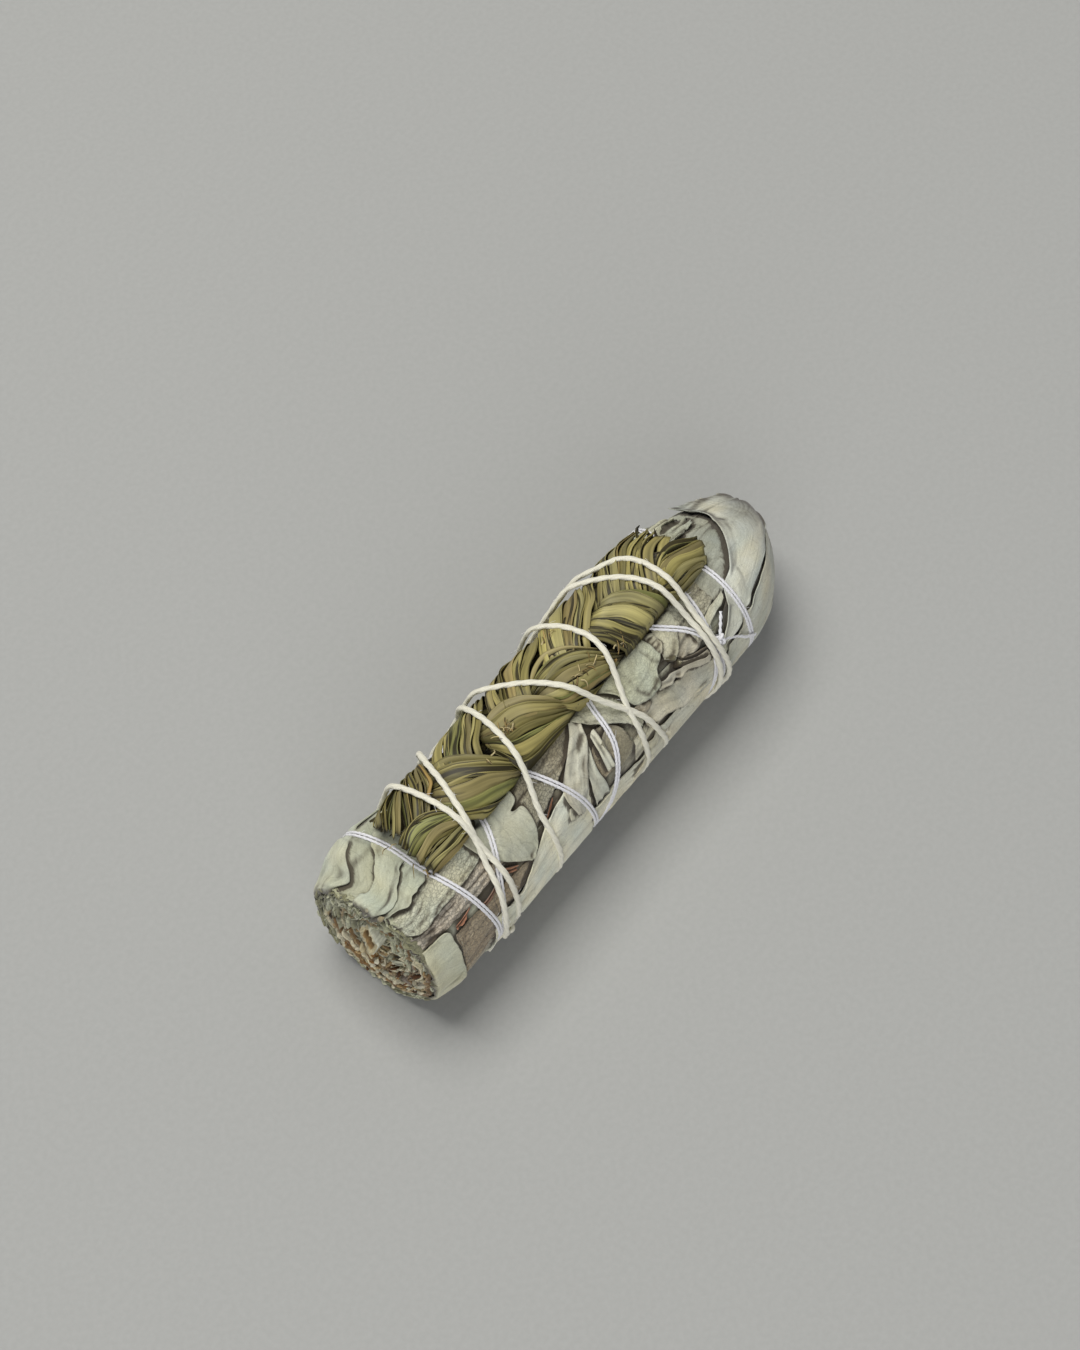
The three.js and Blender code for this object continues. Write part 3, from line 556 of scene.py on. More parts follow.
def pressedUnder(line, radius, halfWidth, halfHeight, slope=0.5):
    # how high leaves may stand near a binding: its own underside, and a slope up on both sides
    most = np.full(gridX.shape, noLimit)
    i, j = cells(line[:, 1], line[:, 0])
    for di in range(-9, 10):
        for dj in range(-9, 10):
            off = np.hypot(di * chart["step"], dj * chart["angleStep"] * arcPerDegree)
            bulge = halfHeight * np.sqrt(max(0, 1 - (off / halfWidth) ** 2))
            under = -bulge + slope * max(0, off - halfWidth)
            inside = (i + di >= 0) & (i + di < len(mapX))
            np.minimum.at(most, (i[inside] + di, (j[inside] + dj) % len(mapAngle)), radius[inside] + under)
    return most


floorLimit = (bunch["axisHeight"] - 0.02) / np.maximum(1e-3, -np.cos(np.radians(gridAngle)))
plaitOff = np.abs(turnOff(gridAngle, plait["angle"])) / plaitReach
underPlait = (plaitOff < 1.04) & (gridX > plait["startX"] - 0.5) & (gridX < plait["endX"] + 1.5)
plaitLimit = np.where(underPlait, plaitMiddle - plait["rise"] - plait["halfThickness"] - 0.15, noLimit)
limit = np.minimum.reduce([pressedUnder(threadLine, threadRadius, thread["radius"] + thread["apart"], 0.15),
                           pressedUnder(stringLine, stringRadius, string["halfWidth"], 0.3),
                           floorLimit, plaitLimit])
limit = blurMap(np.minimum(limit, rollRadius(gridX, gridAngle) + 2.5), 0.25)
limit = np.minimum(limit, floorLimit)
coreInset = 3.0  # from the roll's surface to its packed core
heightMap = np.maximum(0.3, rollRadius(np.maximum(gridX, -56.5), gridAngle) - coreInset)
print("the height map is ready")


def layLeaf(low, high, tint, seed, rise=0.0, net=0.5, crinkle=0.14, waves=(2.0, 9.0), pleat=0.12,
            ridges=0.0, ridgeWidth=1.6, ragged=0.3, ends=(0.5, 0.5), curl=(0.1, 0.1), step=0.32,
            thickness=0.4, stretch=2.5, edge=0.5, headroom=0.35, lastLift=0.0):
    # A leaf between two margins of (x, angle) places, laid on what is there. Its face is the softened height
    # below it plus its thickness, filled out in the middle to rise mm over the roll, with waves, pleats,
    # ridges along it and margins that lift, and it is pressed down under the bindings. Its top then joins
    # the height map.
    rng = np.random.default_rng(seed)
    lowLine, lowLength = evenly(throughPoints(low), 200)
    highLine, highLength = evenly(throughPoints(high), 200)
    width = np.linalg.norm((highLine - lowLine) * (1, arcPerDegree), axis=1)
    rows = 2 * max(4, int((lowLength + highLength) / 4 / step)) + 1
    columns = 2 * max(3, int(np.percentile(width, 80) / 2 / step)) + 1
    s, t = np.meshgrid(np.linspace(0, 1, rows), np.linspace(0, 1, columns), indexing="ij")
    length = (lowLength + highLength) / 2
    torn = [jagged(rng, t[0] * width.max(), 0.9, size) / length for size in ends]
    s = torn[0] + (1 - torn[0] - torn[1]) * s
    flat = lambda line, k: np.interp(s.ravel(), np.linspace(0, 1, 200), line[:, k]).reshape(s.shape)
    widthHere = np.maximum(0.3, np.interp(s.ravel(), np.linspace(0, 1, 200), width).reshape(s.shape))
    along = s * length
    bites = [jagged(rng, along, 1.3, ragged) + jagged(rng, along, 0.5, ragged / 2) for _ in range(2)]
    bite = [np.minimum(0.35, depth / widthHere) for depth in bites]
    t = bite[0] + (1 - bite[0] - bite[1]) * t
    x = flat(lowLine, 0) * (1 - t) + flat(highLine, 0) * t
    angle = flat(lowLine, 1) * (1 - t) + flat(highLine, 1) * t
    across = (t - 0.5) * widthHere
    toLow, toHigh = t * widthHere, (1 - t) * widthHere
    toEdge = np.minimum(np.minimum(toLow, toHigh), np.minimum(s, 1 - s) * length)
    # heights
    draped = sampleMap(blurMap(spreadMap(heightMap, 1), 0.6), x, angle)
    below = sampleMap(heightMap, x, angle)
    roll = rollRadius(x, angle)
    middle = (1 - np.abs(2 * t - 1) ** 8.0) * (1 - np.abs(2 * s - 1) ** 16.0)
    wave = ripples(rng, 14, waves[0], waves[1], stretch)(along, across)
    groove = np.exp(-(ripples(rng, 9, 2.2, 8.0, 1.6 * stretch)(along, across) / 0.24) ** 2)
    bend = 0.9 * ripples(rng, 5, 9, 26)(along, 0.3 * across)
    ridge = 1 - 2 * np.abs(np.cos(np.pi * across / ridgeWidth + bend))
    fine = ripples(rng, 12, 0.9, 1.9, 1.3)(along, across)
    curled = curl[0] * np.exp(-(toLow / 0.8) ** 1.5) + curl[1] * np.exp(-(toHigh / 0.8) ** 1.5)
    radius = draped + thickness + 0.05 + middle * np.maximum(0, roll + rise - draped - thickness)
    curled = curled + lastLift * np.exp(-((1 - s) * length / 1.4) ** 1.5)
    radius = radius + crinkle * wave - pleat * groove + ridges * ridge + 0.06 * net * fine + curled
    most = roll + rise + headroom + 0.5 * np.maximum(0, crinkle * wave) + curled
    radius = np.minimum(radius, np.minimum(sampleMap(limit, x, angle), most))
    radius = np.maximum(np.maximum(radius, below + 0.05), 0.02)
    radius = np.minimum(radius, sampleMap(floorLimit, x, angle))
    wall = thickness * (0.4 + 0.6 * smooth(toEdge / 0.8))  # thinner at its margins
    outer = place(x, angle, radius)
    inner = place(x, angle, np.maximum(0.01, radius - wall))[::2, ::2]
    # browned margins, which are real, and painted shade in the grooves of the pleats and between the ridges
    brown = jagged(rng, along, 2.5, 1.0)
    wearAndShade = (edge * brown * np.exp(-toEdge / 0.22) + pleat * groove * 1.6
            + 0.9 * ridges * smooth((-0.7 - ridge) / 0.25))
    colour = np.append(linear(tint)[:3] * rng.uniform(0.97, 1.05) * (0.99, 1.0, 1.03), 1.0)
    warmth = 1 + 0.07 * ripples(rng, 6, 5, 16)(along, across)[..., None] * np.array([1.0, 0.6, 0.1, 0.0])
    i, j = cells(finer(x), finer(angle))
    np.maximum.at(heightMap, (i, j), finer(radius))
    uv = np.stack([along + seed % 97, across + 40], -1)
    part = closedSheet(outer, inner, uv, np.broadcast_to(colour, x.shape + (4,)) * warmth,
                       np.clip(wearAndShade, 0, 0.8), np.full(x.shape, net))
    part["chart"] = [np.concatenate([a.ravel(), a[::2, ::2].ravel()]) for a in (x, angle, radius)]
    return part


def shadeHollows(parts):
    # painted shade: leaves are darkened where a neighbour 0.3, 0.6 or 2 mm away stands higher
    maps = [(spreadMap(heightMap, 1), 0.14, 0.34, 0.75), (spreadMap(heightMap, 2), 0.3, 0.7, 0.2),
            (blurMap(heightMap, 1.6), 0.2, 1.2, 0.3)]
    for part in parts:
        x, angle, radius = part["chart"]
        for field, start, span, share in maps:
            lower = sampleMap(field, x, angle) - radius - start
            part["wearAndShade"] = part["wearAndShade"] + share * smooth(lower / span)
        part["wearAndShade"] = np.clip(part["wearAndShade"], 0, 0.9)


# ---- the middle of the roll: tightly packed leaf, seen only in the gaps, its dark brown painted shade
def rollCore():
    # rings of the roll's radius less the inset, waved round and along
    rng = np.random.default_rng(3)
    x = np.concatenate([np.linspace(-55.6, 50, 70), 50 + 8.2 * np.sin(np.linspace(0.05, 1.57, 18))])
    angle = np.arange(0, 360, 4.0)
    x, angle = np.meshgrid(x, angle, indexing="ij")
    waved = 0.3 * ripples(rng, 14, 2, 8, 3)(x, turnOff(angle, 0) * arcPerDegree) * smooth((56 - x) / 6)
    radius = np.maximum(0.05, rollRadius(x, angle) - coreInset - 0.1 + waved)
    # the dark brown is painted shade for the bottom of the gaps
    return closedTube(place(x, angle, radius), linear("#4a3e2c"), 0.25)


addPiece("packedCore", [rollCore()], finish["leaf"], ["sage_leaves"])

# ---- rows of leaves by rule, from the deep ones outwards
leafTints = ["#bcbca5", "#b2b29b", "#a39e87", "#c4c5ae", "#aaa691", "#979079", "#c7c9b4", "#b0ae99"]
deepTints = ["#857b63", "#91886f", "#766a52", "#99917b"]
deepRows = {"first": -176, "step": 24, "pitch": 30, "length": 40, "width": 11, "seed": 500}
outerRows = {"first": 62, "step": 15.5, "pitch": 27, "length": 41, "width": 11.5, "seed": 900}


def ruleLeaf(rng, startX, angle, length, width, slant, seed, tints, **how):
    # A leaf as long as given: its width is sin(pi (0.1 + 0.88 s)^0.85)^0.7 of the full one, so it is broad
    # at its base and drawn to a point, and its middle line bends a little.
    s = np.linspace(0.0, 1.0, 9)
    bend = rng.uniform(-5, 5) * np.sin(np.pi * s) + slant * s
    fullness = np.maximum(0.12, np.sin(np.pi * np.clip(0.1 + 0.88 * s, 0, 1) ** 0.85)) ** 0.7
    half = width / 2 / arcPerDegree * fullness
    x = np.clip(startX + length * s, -57.6, 58.2)
    low, high = np.stack([x, angle + bend - half], 1), np.stack([x, angle + bend + half], 1)
    return layLeaf(low, high, tints[rng.integers(len(tints))], seed, **how)


def deepLeaves():
    rng = np.random.default_rng(deepRows["seed"])
    parts = []
    for row in range(15):
        for i in range(4):
            start = -57 + i * deepRows["pitch"] + rng.uniform(-4, 4) - (i == 0) * 3
            parts.append(ruleLeaf(rng, max(start, -57.3), deepRows["first"] + row * deepRows["step"],
                                  deepRows["length"], deepRows["width"], rng.uniform(-9, 9),
                                  deepRows["seed"] + 7 * len(parts), deepTints, rise=-1.7, step=1.2, net=0.8,
                                  crinkle=0.22))
    return parts


def outerLeaves(rise, startRow, count, seed, tints, **how):
    rng = np.random.default_rng(seed)
    parts = []
    order = [(row, i) for row in range(count) for i in range(4)]
    rng.shuffle(order)
    for row, i in order:
        angle = startRow + row * outerRows["step"] + rng.uniform(-4, 4)
        start = -57.4 + i * outerRows["pitch"] + rng.uniform(-6, 5) * (i > 0)
        length = outerRows["length"] + rng.uniform(-9, 7)
        net = rng.uniform(0.15, 1.0)
        curl = (rng.uniform(-0.1, 0.4), rng.uniform(-0.1, 0.4))
        width = outerRows["width"] + rng.uniform(-2.5, 3)
        slant = rng.uniform(-14, 14)
        relief = {"rise": rise + rng.uniform(-0.2, 0.3), "crinkle": rng.uniform(0.1, 0.22),
                  "ridges": rng.choice([0, 0, 0.1, 0.2]), "pleat": rng.uniform(0.05, 0.25)}
        parts.append(ruleLeaf(rng, start, angle, min(length, 58 - start), width, slant,
                              seed + 11 * len(parts), tints, net=net, curl=curl, **relief, **how))
    return parts


deepParts = deepLeaves()
middleParts = outerLeaves(-0.95, -178, 23, 700, leafTints[1:6], step=1.2)


def leaf(low, high, tint, net, rise, **how):
    # a leaf's two margins as (x, angle) places, its tint, how much its net shows and how far it rises
    return dict(low=low, high=high, tint=tint, net=net, rise=rise, **how)


# ---- the leaves that show on the near side, from the lowest to the topmost
# their pale tints are partly the leaves' own and partly painted light, raised so that the near side, which
# the lamps leave darker, looks bright
nearLeaves = [
    # below the cut end: grey-brown and wrinkled, with a broken hollow by the twig
    leaf([(-55, -118), (-36, -118)], [(-51.2, -84), (-50.4, -72), (-50, -62), (-48.9, -66), (-47.2, -66),
         (-46.4, -60), (-42, -59), (-36, -59)], "#c3b89c", 1.0, -0.15, crinkle=0.18, pleat=0.2),
    leaf([(-43, -116), (-29, -116)], [(-43.5, -62), (-40, -58), (-35, -60), (-29, -62)], "#b7a88c", 0.9,
         -0.5),
    leaf([(-58.0, -51), (-54, -50), (-50, -50.5), (-44, -51.5), (-34, -50)], [(-57.8, -30), (-54.7, -34),
         (-50, -34), (-44, -34), (-32, -31)], "#c9bfac", 1.0, 0.0, ridges=0.16, ridgeWidth=1.3,
         crinkle=0.16, pleat=0.25, stretch=4),
    leaf([(-57.4, -33), (-55, -38.5), (-52, -38), (-50, -36.5), (-44.4, -37), (-36, -33), (-30, -31)],
         [(-57.2, -4), (-53.4, -7), (-45, -1), (-30, 2)], "#cbcbb4", 0.8, 0.15, crinkle=0.12,
         curl=(0.3, 0), ridges=0.07, ridgeWidth=1.4, stretch=4, pleat=0.16),
    # the big pale leaf at the cut end, split by long cracks
    leaf([(-57.4, 20), (-56.0, 13), (-54.8, 8), (-52.2, 10), (-50.3, 17), (-48, 23), (-45.3, 36),
         (-36, 46)], [(-57.2, 54), (-55.2, 42), (-53.6, 42), (-51.1, 53), (-48.8, 57), (-45.2, 65),
         (-36, 74)], "#bbbda5", 0.1, -0.1, crinkle=0.1, pleat=0.05, headroom=0.5, ragged=0.2),
    leaf([(-58.4, -6), (-57.2, -13), (-54.8, -16), (-53.2, -20), (-51.6, -17.5), (-50.4, -18),
         (-49.0, -16.5), (-47.5, -16.5), (-45.6, -13), (-36, -7)], [(-58.4, 2), (-56.6, -4), (-54.3, -7),
         (-52.5, -3), (-51.1, 1.5), (-49.2, 5), (-46.7, 11), (-36, 16)], "#c5c8b0", 0.12, 0.2,
         crinkle=0.08, curl=(0.4, 0), pleat=0.04, headroom=0.5, ragged=0.3),
    leaf([(-58.4, -3), (-56.4, -11), (-54.3, -12.3), (-52.5, -8.3), (-51.1, -4), (-49.2, 0.2),
         (-46.7, 6.3), (-36, 10)], [(-57.6, 24), (-55.6, 20.6), (-54.8, 15.8), (-52.2, 17.2),
         (-50.3, 24.5), (-48, 30.4), (-45.3, 43.5), (-36, 52)], "#c6c9b1", 0.1, 0.35, crinkle=0.08,
         curl=(0.12, 0.2), pleat=0.04, headroom=0.5, ragged=0.35, edge=0.8),
    leaf([(-57.8, 47), (-56.6, 43), (-55.1, 34), (-54.0, 34), (-51.1, 45), (-48.8, 49.5), (-45.2, 57),
         (-36, 66)], [(-57.6, 112), (-48, 108), (-36, 112)], "#d0d3bc", 0.1, 0.3, crinkle=0.1,
         curl=(0.05, 0), pleat=0.05, headroom=0.5, ragged=0.3, edge=0.8),
    leaf([(-57.8, -122), (-55, -120), (-51.2, -118)], [(-58, -49.5), (-54.3, -48.5), (-51.9, -49),
         (-51.0, -53)], "#cfceb2", 0.12, 0.3, crinkle=0.08, pleat=0.04, ends=(0.3, 0.4), headroom=0.5,
         curl=(0, 0.2), edge=0.2, ragged=0.15),
    leaf([(-51.2, -100), (-46, -96), (-41, -92)], [(-50.6, -57), (-46, -56.5), (-40, -58)], "#aa9a7f",
         1.0, -0.35, pleat=0.3, crinkle=0.25, waves=(1.5, 5), ragged=0.4),
    # fibrous bits of twig in the gap beside it
    leaf([(-50.2, -56), (-47.5, -55), (-44.6, -52)], [(-50, -52.5), (-47.4, -51.5), (-44.8, -49.8)],
         "#bc8467", 0.2, 0.2, ridges=0.3, ridgeWidth=0.8, ragged=0.25, ends=(0.9, 0.9), pleat=0.3),
    leaf([(-43.4, -60), (-40.5, -59), (-37.6, -57)], [(-43.2, -56.5), (-40.5, -55.6), (-37.8, -54.2)],
         "#a9816a", 0.2, 0.1, ridges=0.3, ridgeWidth=0.8, ragged=0.25, ends=(0.9, 0.9), pleat=0.3),
    leaf([(-36.8, -53), (-35.5, -57), (-33.6, -60)], [(-35.3, -50.5), (-34.2, -54), (-32.4, -57.5)],
         "#a9795b", 0.2, 0.1, ridges=0.25, ridgeWidth=0.8, ragged=0.2, ends=(0.6, 0.6)),
    leaf([(-24.6, -54), (-22.4, -50), (-20.2, -46)], [(-23.4, -51), (-21.4, -47), (-19.3, -43)],
         "#8d6249", 0.2, 0.35, ridges=0.2, ridgeWidth=0.7, ragged=0.15, ends=(0.6, 0.6)),
    # dark and wrinkled under the plait
    leaf([(-27.5, -53), (-21, -45), (-17.7, -41.5), (-13.6, -36), (-6, -25)], [(-27, 6), (-17, 8),
         (-5, 6)], "#a7a18b", 1.0, -0.2, crinkle=0.18, ridges=0.08, pleat=0.25),
    # a long pale leaf that runs in under the near side
    leaf([(-44, -118), (-30, -124), (-14, -118)], [(-42, -75), (-35, -77.5), (-32.5, -71), (-30, -66),
         (-24.8, -54), (-20.9, -49), (-15.6, -46), (-11.5, -45)], "#ecebd4", 0.12, 0.25, crinkle=0.2,
         waves=(2.5, 10), curl=(0, 0.3), pleat=0.1, stretch=3.5, headroom=0.5),
    leaf([(-19.5, -66), (-17.3, -70), (-16.0, -63)], [(-18.6, -58), (-15.4, -60), (-13.2, -58)],
         "#dedac0", 0.1, 0.3, ragged=0.15, curl=(0.2, 0.2)),
    # the heart-shaped end of a leaf that comes out from under the plait
    leaf([(-37.8, 9), (-37.8, -8), (-37.9, -23), (-37.2, -36), (-34.9, -47), (-32.7, -55), (-30.2, -63)],
         [(-24.2, 9), (-24.0, -8), (-24.6, -22), (-25.4, -26), (-27.2, -28), (-26.6, -30), (-25.1, -31),
         (-25.0, -38), (-25.7, -47), (-27.0, -56), (-29.4, -63)], "#c2c3ae", 0.15, 0.35, crinkle=0.08,
         curl=(0.15, 0.3), ragged=0.1, pleat=0.04, ends=(0.1, 0.05), headroom=0.6, ridges=0.03,
         ridgeWidth=2.5),
    # the hollow of the hairpin fold, a sunk leaf tinted dark as painted shade, and a thin brown leaf in it
    leaf([(-14, -84), (-2, -82)], [(-12, -44), (-1, -30)], "#7d725d", 0.9, -1.0),
    leaf([(-9.3, -67), (-5.6, -67)], [(-8.4, -45), (-6.2, -41)], "#c0b295", 1.0, -0.45, ragged=0.1),
    leaf([(-12.4, -80), (-12.2, -66), (-11.4, -52), (-9.6, -41), (-8.0, -33)], [(-8.4, -80), (-8.6, -68),
         (-9.0, -58), (-8.6, -47), (-6.7, -31)], "#dadac5", 0.08, 0.35, ridges=0.15, ridgeWidth=1.8,
         crinkle=0.05, ragged=0.1, curl=(0.2, 0.35), pleat=0.05, headroom=0.6),
    leaf([(-7.4, -64), (-7.0, -50), (-6.3, -34)], [(-5.2, -66), (-4.9, -50), (-4.5, -33)], "#ecebd5", 0.1,
         0.35, ridges=0.15, ridgeWidth=1.1, crinkle=0.06, ragged=0.1, curl=(0.3, 0.2), headroom=0.6),
    # a folded leaf in long ridges, slanting up to the plait
    leaf([(-15.4, -74), (-13.4, -61), (-11.4, -50), (-8.6, -40), (-6.5, -31), (-4.8, -22)], [(-17.6, -66),
         (-17.9, -51), (-15.2, -39.5), (-11.6, -30.5), (-8.9, -24.5), (-6.9, -17)], "#d8d5c0", 0.12, 0.5,
         ridges=0.17, ridgeWidth=2.1, crinkle=0.05, ragged=0.12, curl=(0.25, 0.3), stretch=6, pleat=0.05,
         headroom=0.9),
    leaf([(-8.0, -12), (-6.0, -24), (-3.6, -34), (0.4, -47), (3.7, -61)], [(-3, 6), (1.2, -6), (4.6, -20),
         (5.8, -36), (6, -56)], "#cbcab2", 0.5, 0.15, crinkle=0.12, curl=(0.4, 0.1), pleat=0.15),
    leaf([(-0.6, -12), (2.4, -26), (4.6, -40), (5.6, -52)], [(4, 4), (6.4, -14), (7.4, -32), (6.8, -48)],
         "#c3c1aa", 0.4, 0.3, curl=(0.35, 0)),
    leaf([(-4, -73), (-0.8, -71), (0.6, -65)], [(-6, -44), (-1.8, -40), (0.3, -50)], "#a49e86", 0.6, -0.3,
         curl=(0, 0.25)),
    # brownish strips along the near side
    leaf([(-4, -124), (28, -122)], [(0.8, -65), (8, -59), (16, -57), (25, -62)], "#dfdac0", 0.35, -0.15,
         ridges=0.14, stretch=5, crinkle=0.14, pleat=0.2),
    leaf([(-14, -112), (10, -110)], [(-13, -79), (-7.4, -77.5), (-1.9, -81.5), (6.1, -82.5), (10, -88)],
         "#eae7ce", 0.2, 0.2, curl=(0, 0.35), stretch=5, ridges=0.08, headroom=0.5),
    leaf([(-3, -110), (12, -112), (27, -108)], [(-1, -88), (5.8, -79.5), (12.5, -73.5), (19.1, -77.5),
         (26, -80)], "#e5e1c8", 0.25, 0.25, curl=(0, 0.4), stretch=5, ridges=0.08, headroom=0.5),
    leaf([(2, -84), (9, -80), (13.2, -77)], [(2.5, -75), (8, -73), (12.6, -72.5)], "#d9d5bc", 0.2, 0.3,
         curl=(0.2, 0.3), ragged=0.1),
    leaf([(14.6, -39), (17, -42), (21.4, -36.5), (25, -36)], [(14.2, 7), (25, 7)], "#a5a18b", 0.8, -0.2,
         crinkle=0.18, pleat=0.25),
    # leaves near the tips: one folded like a fan, thin ones on edge, a pointed one, and the hole beside it, a
    # sunk leaf tinted dark as painted shade
    leaf([(26.5, -54), (24.3, -51), (22.6, -53.5), (19.7, -50.5), (17.7, -47)], [(26, -30), (22.2, -33),
         (20.1, -37), (18.6, -41), (17.6, -45)], "#c9c2ab", 0.4, 0.1, ridges=0.14, ridgeWidth=1.7,
         ragged=0.12, curl=(0.2, 0.1), crinkle=0.1),
    leaf([(15.8, -53), (19, -58), (21.8, -64), (25.5, -69)], [(17.0, -45.5), (18.9, -48.5), (21.3, -53),
         (25, -57)], "#9a8e76", 0.3, -0.25, ridges=0.2, ridgeWidth=1.0, ragged=0.1, curl=(0.2, 0.3)),
    leaf([(16.4, -50.5), (18.8, -54.5), (21.4, -60), (24.6, -63)], [(17.3, -46.5), (18.9, -51),
         (21.3, -55.5), (24.2, -58.5)], "#c7bfa6", 0.2, 0.1, ragged=0.1, curl=(0.3, 0.35), crinkle=0.06),
    leaf([(24.5, -29), (21.3, -34), (19.8, -38), (18.4, -42), (16.8, -44.8)], [(21, -8), (18.1, -19),
         (16.7, -26), (15.9, -33), (15.3, -40)], "#cfceb7", 0.45, 0.45, curl=(0.5, 0.15), ragged=0.1,
         ends=(0.1, 0.3), crinkle=0.08, headroom=0.6),
    leaf([(17.2, -30), (15.8, -34), (13.8, -33)], [(17.8, -21), (15.6, -16), (13.2, -21)], "#c6c4ae", 0.2,
         0.3, curl=(0.6, 0.6), ragged=0.15, ridges=0.25, ridgeWidth=0.9, ends=(0.4, 0.4)),
    leaf([(11.6, -43), (14.2, -51), (16.2, -51), (18.2, -50)], [(11.8, -35), (14, -36), (16, -39),
         (18.0, -43)], "#6f6c54", 0.3, -1.0, ragged=0.1),
    # the broad smooth leaf below it, its rolled rim, and the grey-green one that runs up to the plait
    leaf([(4.8, -66.5), (6.8, -67.5), (10.4, -70.5), (13.9, -78), (17.3, -81), (20.2, -83), (25.5, -79)],
         [(4.4, -52), (6.4, -49), (9, -47), (11.2, -49), (12.9, -53.5), (15.4, -55.5), (17, -53),
         (19.2, -57), (22.7, -65), (25.5, -69)], "#dad6bf", 0.25, 0.2, curl=(0.35, 0.2), crinkle=0.1,
         pleat=0.12, stretch=4, headroom=0.5, edge=0.7),
    leaf([(4.2, -50), (5.9, -54.5), (7.8, -52)], [(4.2, -45), (6.2, -45), (8.4, -48.5)], "#a9a18b", 0.3,
         0.2, curl=(0.3, 0.1), ragged=0.12),
    leaf([(10.4, -50.5), (13.2, -54.4), (14.7, -53.4), (15.8, -56), (17.6, -55.6), (20.4, -61.5),
         (24, -67)], [(11.0, -46), (13.4, -48.6), (14.5, -48.4), (16.2, -50.2), (17.6, -51), (20.4, -56),
         (24, -62)], "#d3cdb6", 0.15, 0.35, curl=(0.35, 0.45), ragged=0.15, crinkle=0.06, headroom=0.7),
    leaf([(1.2, -21), (2.9, -29.5), (3.9, -37.5), (4.8, -45.5), (6.8, -47.5), (8.4, -49.5), (11.0, -48.6),
         (12.2, -45), (12.9, -41), (14.1, -38), (15.4, -34)], [(0.0, 3), (4, 8), (9, 9), (15.5, 8)],
         "#c3c6ae", 0.45, 0.35, crinkle=0.1, curl=(0.4, 0.1), headroom=0.6, ragged=0.25, edge=0.7),
    # at the tips: grey and wrinkled, then the inner leaf and the pale ones that close over it
    leaf([(23, -52), (26.4, -43), (29.3, -40), (32.3, -37.5), (35.4, -36), (39, -31)], [(22, 5), (31, 5),
         (39, 0)], "#bcb9a3", 0.85, 0.05, crinkle=0.16, curl=(0.3, 0), pleat=0.2, ridges=0.08),
    leaf([(31, -44), (36, -36), (40.5, -31), (44, -19), (47, -2)], [(31, 46), (38, 44), (44, 40),
         (48, 24)], "#acad9c", 0.3, -0.15, crinkle=0.16),
    leaf([(24, -80), (31, -76), (38, -66)], [(26.8, -60.5), (29.5, -57), (31.5, -48), (34, -43),
         (39, -36)], "#eaead3", 0.12, 0.15, crinkle=0.1, curl=(0, 0.4), headroom=0.5),
    leaf([(25.5, -50), (29, -47), (33, -42)], [(26, -42.5), (29.3, -38.5), (34, -37)], "#d5d5be", 0.3,
         0.2, curl=(0.35, 0)),
]
tipLeaves = [
    leaf([(38, 84), (50, 86), (57.6, 90)], [(36, 150), (48, 160), (57.6, 150)], "#b4b5a2", 0.3, -0.1),
    leaf([(36, 180), (50, 176), (57.8, 170)], [(38, 256), (50, 252), (57.8, 250)], "#adad9a", 0.4, -0.1),
    leaf([(34, 20), (40, 18), (44, 12)], [(34, 66), (41, 70), (48, 62)], "#b4b6a3", 0.3, -0.3),
    leaf([(40, 26), (50, 26), (58.3, 10)], [(38, 104), (50, 104), (58.3, 104)], "#b9bba8", 0.3, -0.15,
         crinkle=0.2),
    # crumpled ends beyond the plait's last blades
    leaf([(34.5, 18), (39, 15), (44.5, 20)], [(35, 36), (40, 38), (45.5, 37)], "#c9cbb4", 0.4, 0.7,
         crinkle=0.4, waves=(1.2, 4), ragged=0.9, ends=(1.0, 1.6), curl=(0.6, 0.7), ridges=0.25,
         headroom=1.3, step=0.3),
    leaf([(33, 34), (38, 31), (43.5, 33)], [(33.5, 58), (38, 52), (43, 50)], "#c6c8b2", 0.3, 0.5,
         crinkle=0.4, waves=(1.2, 4), ragged=0.8, ends=(1.0, 1.4), curl=(0.7, 0.3), headroom=1.2,
         ridges=0.2),
    leaf([(26, -126), (40, -126), (50, -118), (57.8, -100)], [(28.8, -70.5), (32.6, -69.5), (36.1, -63.5),
         (41, -57), (46.4, -53), (51, -52.5), (57.6, -53)], "#d2d2bf", 0.1, 0.15, crinkle=0.12,
         curl=(0, 0.4), pleat=0.05, headroom=0.45),
    # the band that folds over the tips: its pale tint is partly the leaf's own and partly painted light for
    # the brightly lit tip
    leaf([(28.8, -68), (32.6, -67), (36.1, -61), (41, -54.5), (46.2, -50.5), (51, -50.5), (58.3, -51),
         (58.4, 0), (58.3, 50)], [(27.6, -62), (31.1, -52), (34.5, -38), (38.5, -29), (43.2, -13),
         (46.3, 8), (46.9, 20), (46.2, 34), (45.4, 58)], "#dcdecf", 0.04, 0.35, crinkle=0.07, pleat=0.02,
         waves=(4.0, 14.0), curl=(0.05, 0.6), ragged=0.12, stretch=1.2, ends=(0.05, 0.9), headroom=0.5,
         edge=0.2, lastLift=0.9),
]


def layAll(leaves, seed):
    return [layLeaf(seed=seed + 13 * i, **how) for i, how in enumerate(leaves)]


farParts = outerLeaves(-0.15, outerRows["first"], 13, outerRows["seed"], leafTints, step=0.5, headroom=0.25)
nearParts = layAll(nearLeaves, 100)
tipParts = layAll(tipLeaves, 300)
# the leaves of the far side and the underside lie in a mixed order, and are split in two pieces by number
firstHalf = 26
leafGroups = {"deepLeaves": deepParts, "middleLeaves": middleParts, "farSideLeaves": farParts[:firstHalf],
              "undersideLeaves": farParts[firstHalf:], "nearSideLeaves": nearParts, "tipLeaves": tipParts}
triangles = 0
for name, parts in leafGroups.items():
    shadeHollows(parts)
    triangles += addPiece(name, parts, finish["leaf"], ["sage_leaves"])
print("the leaves are laid")

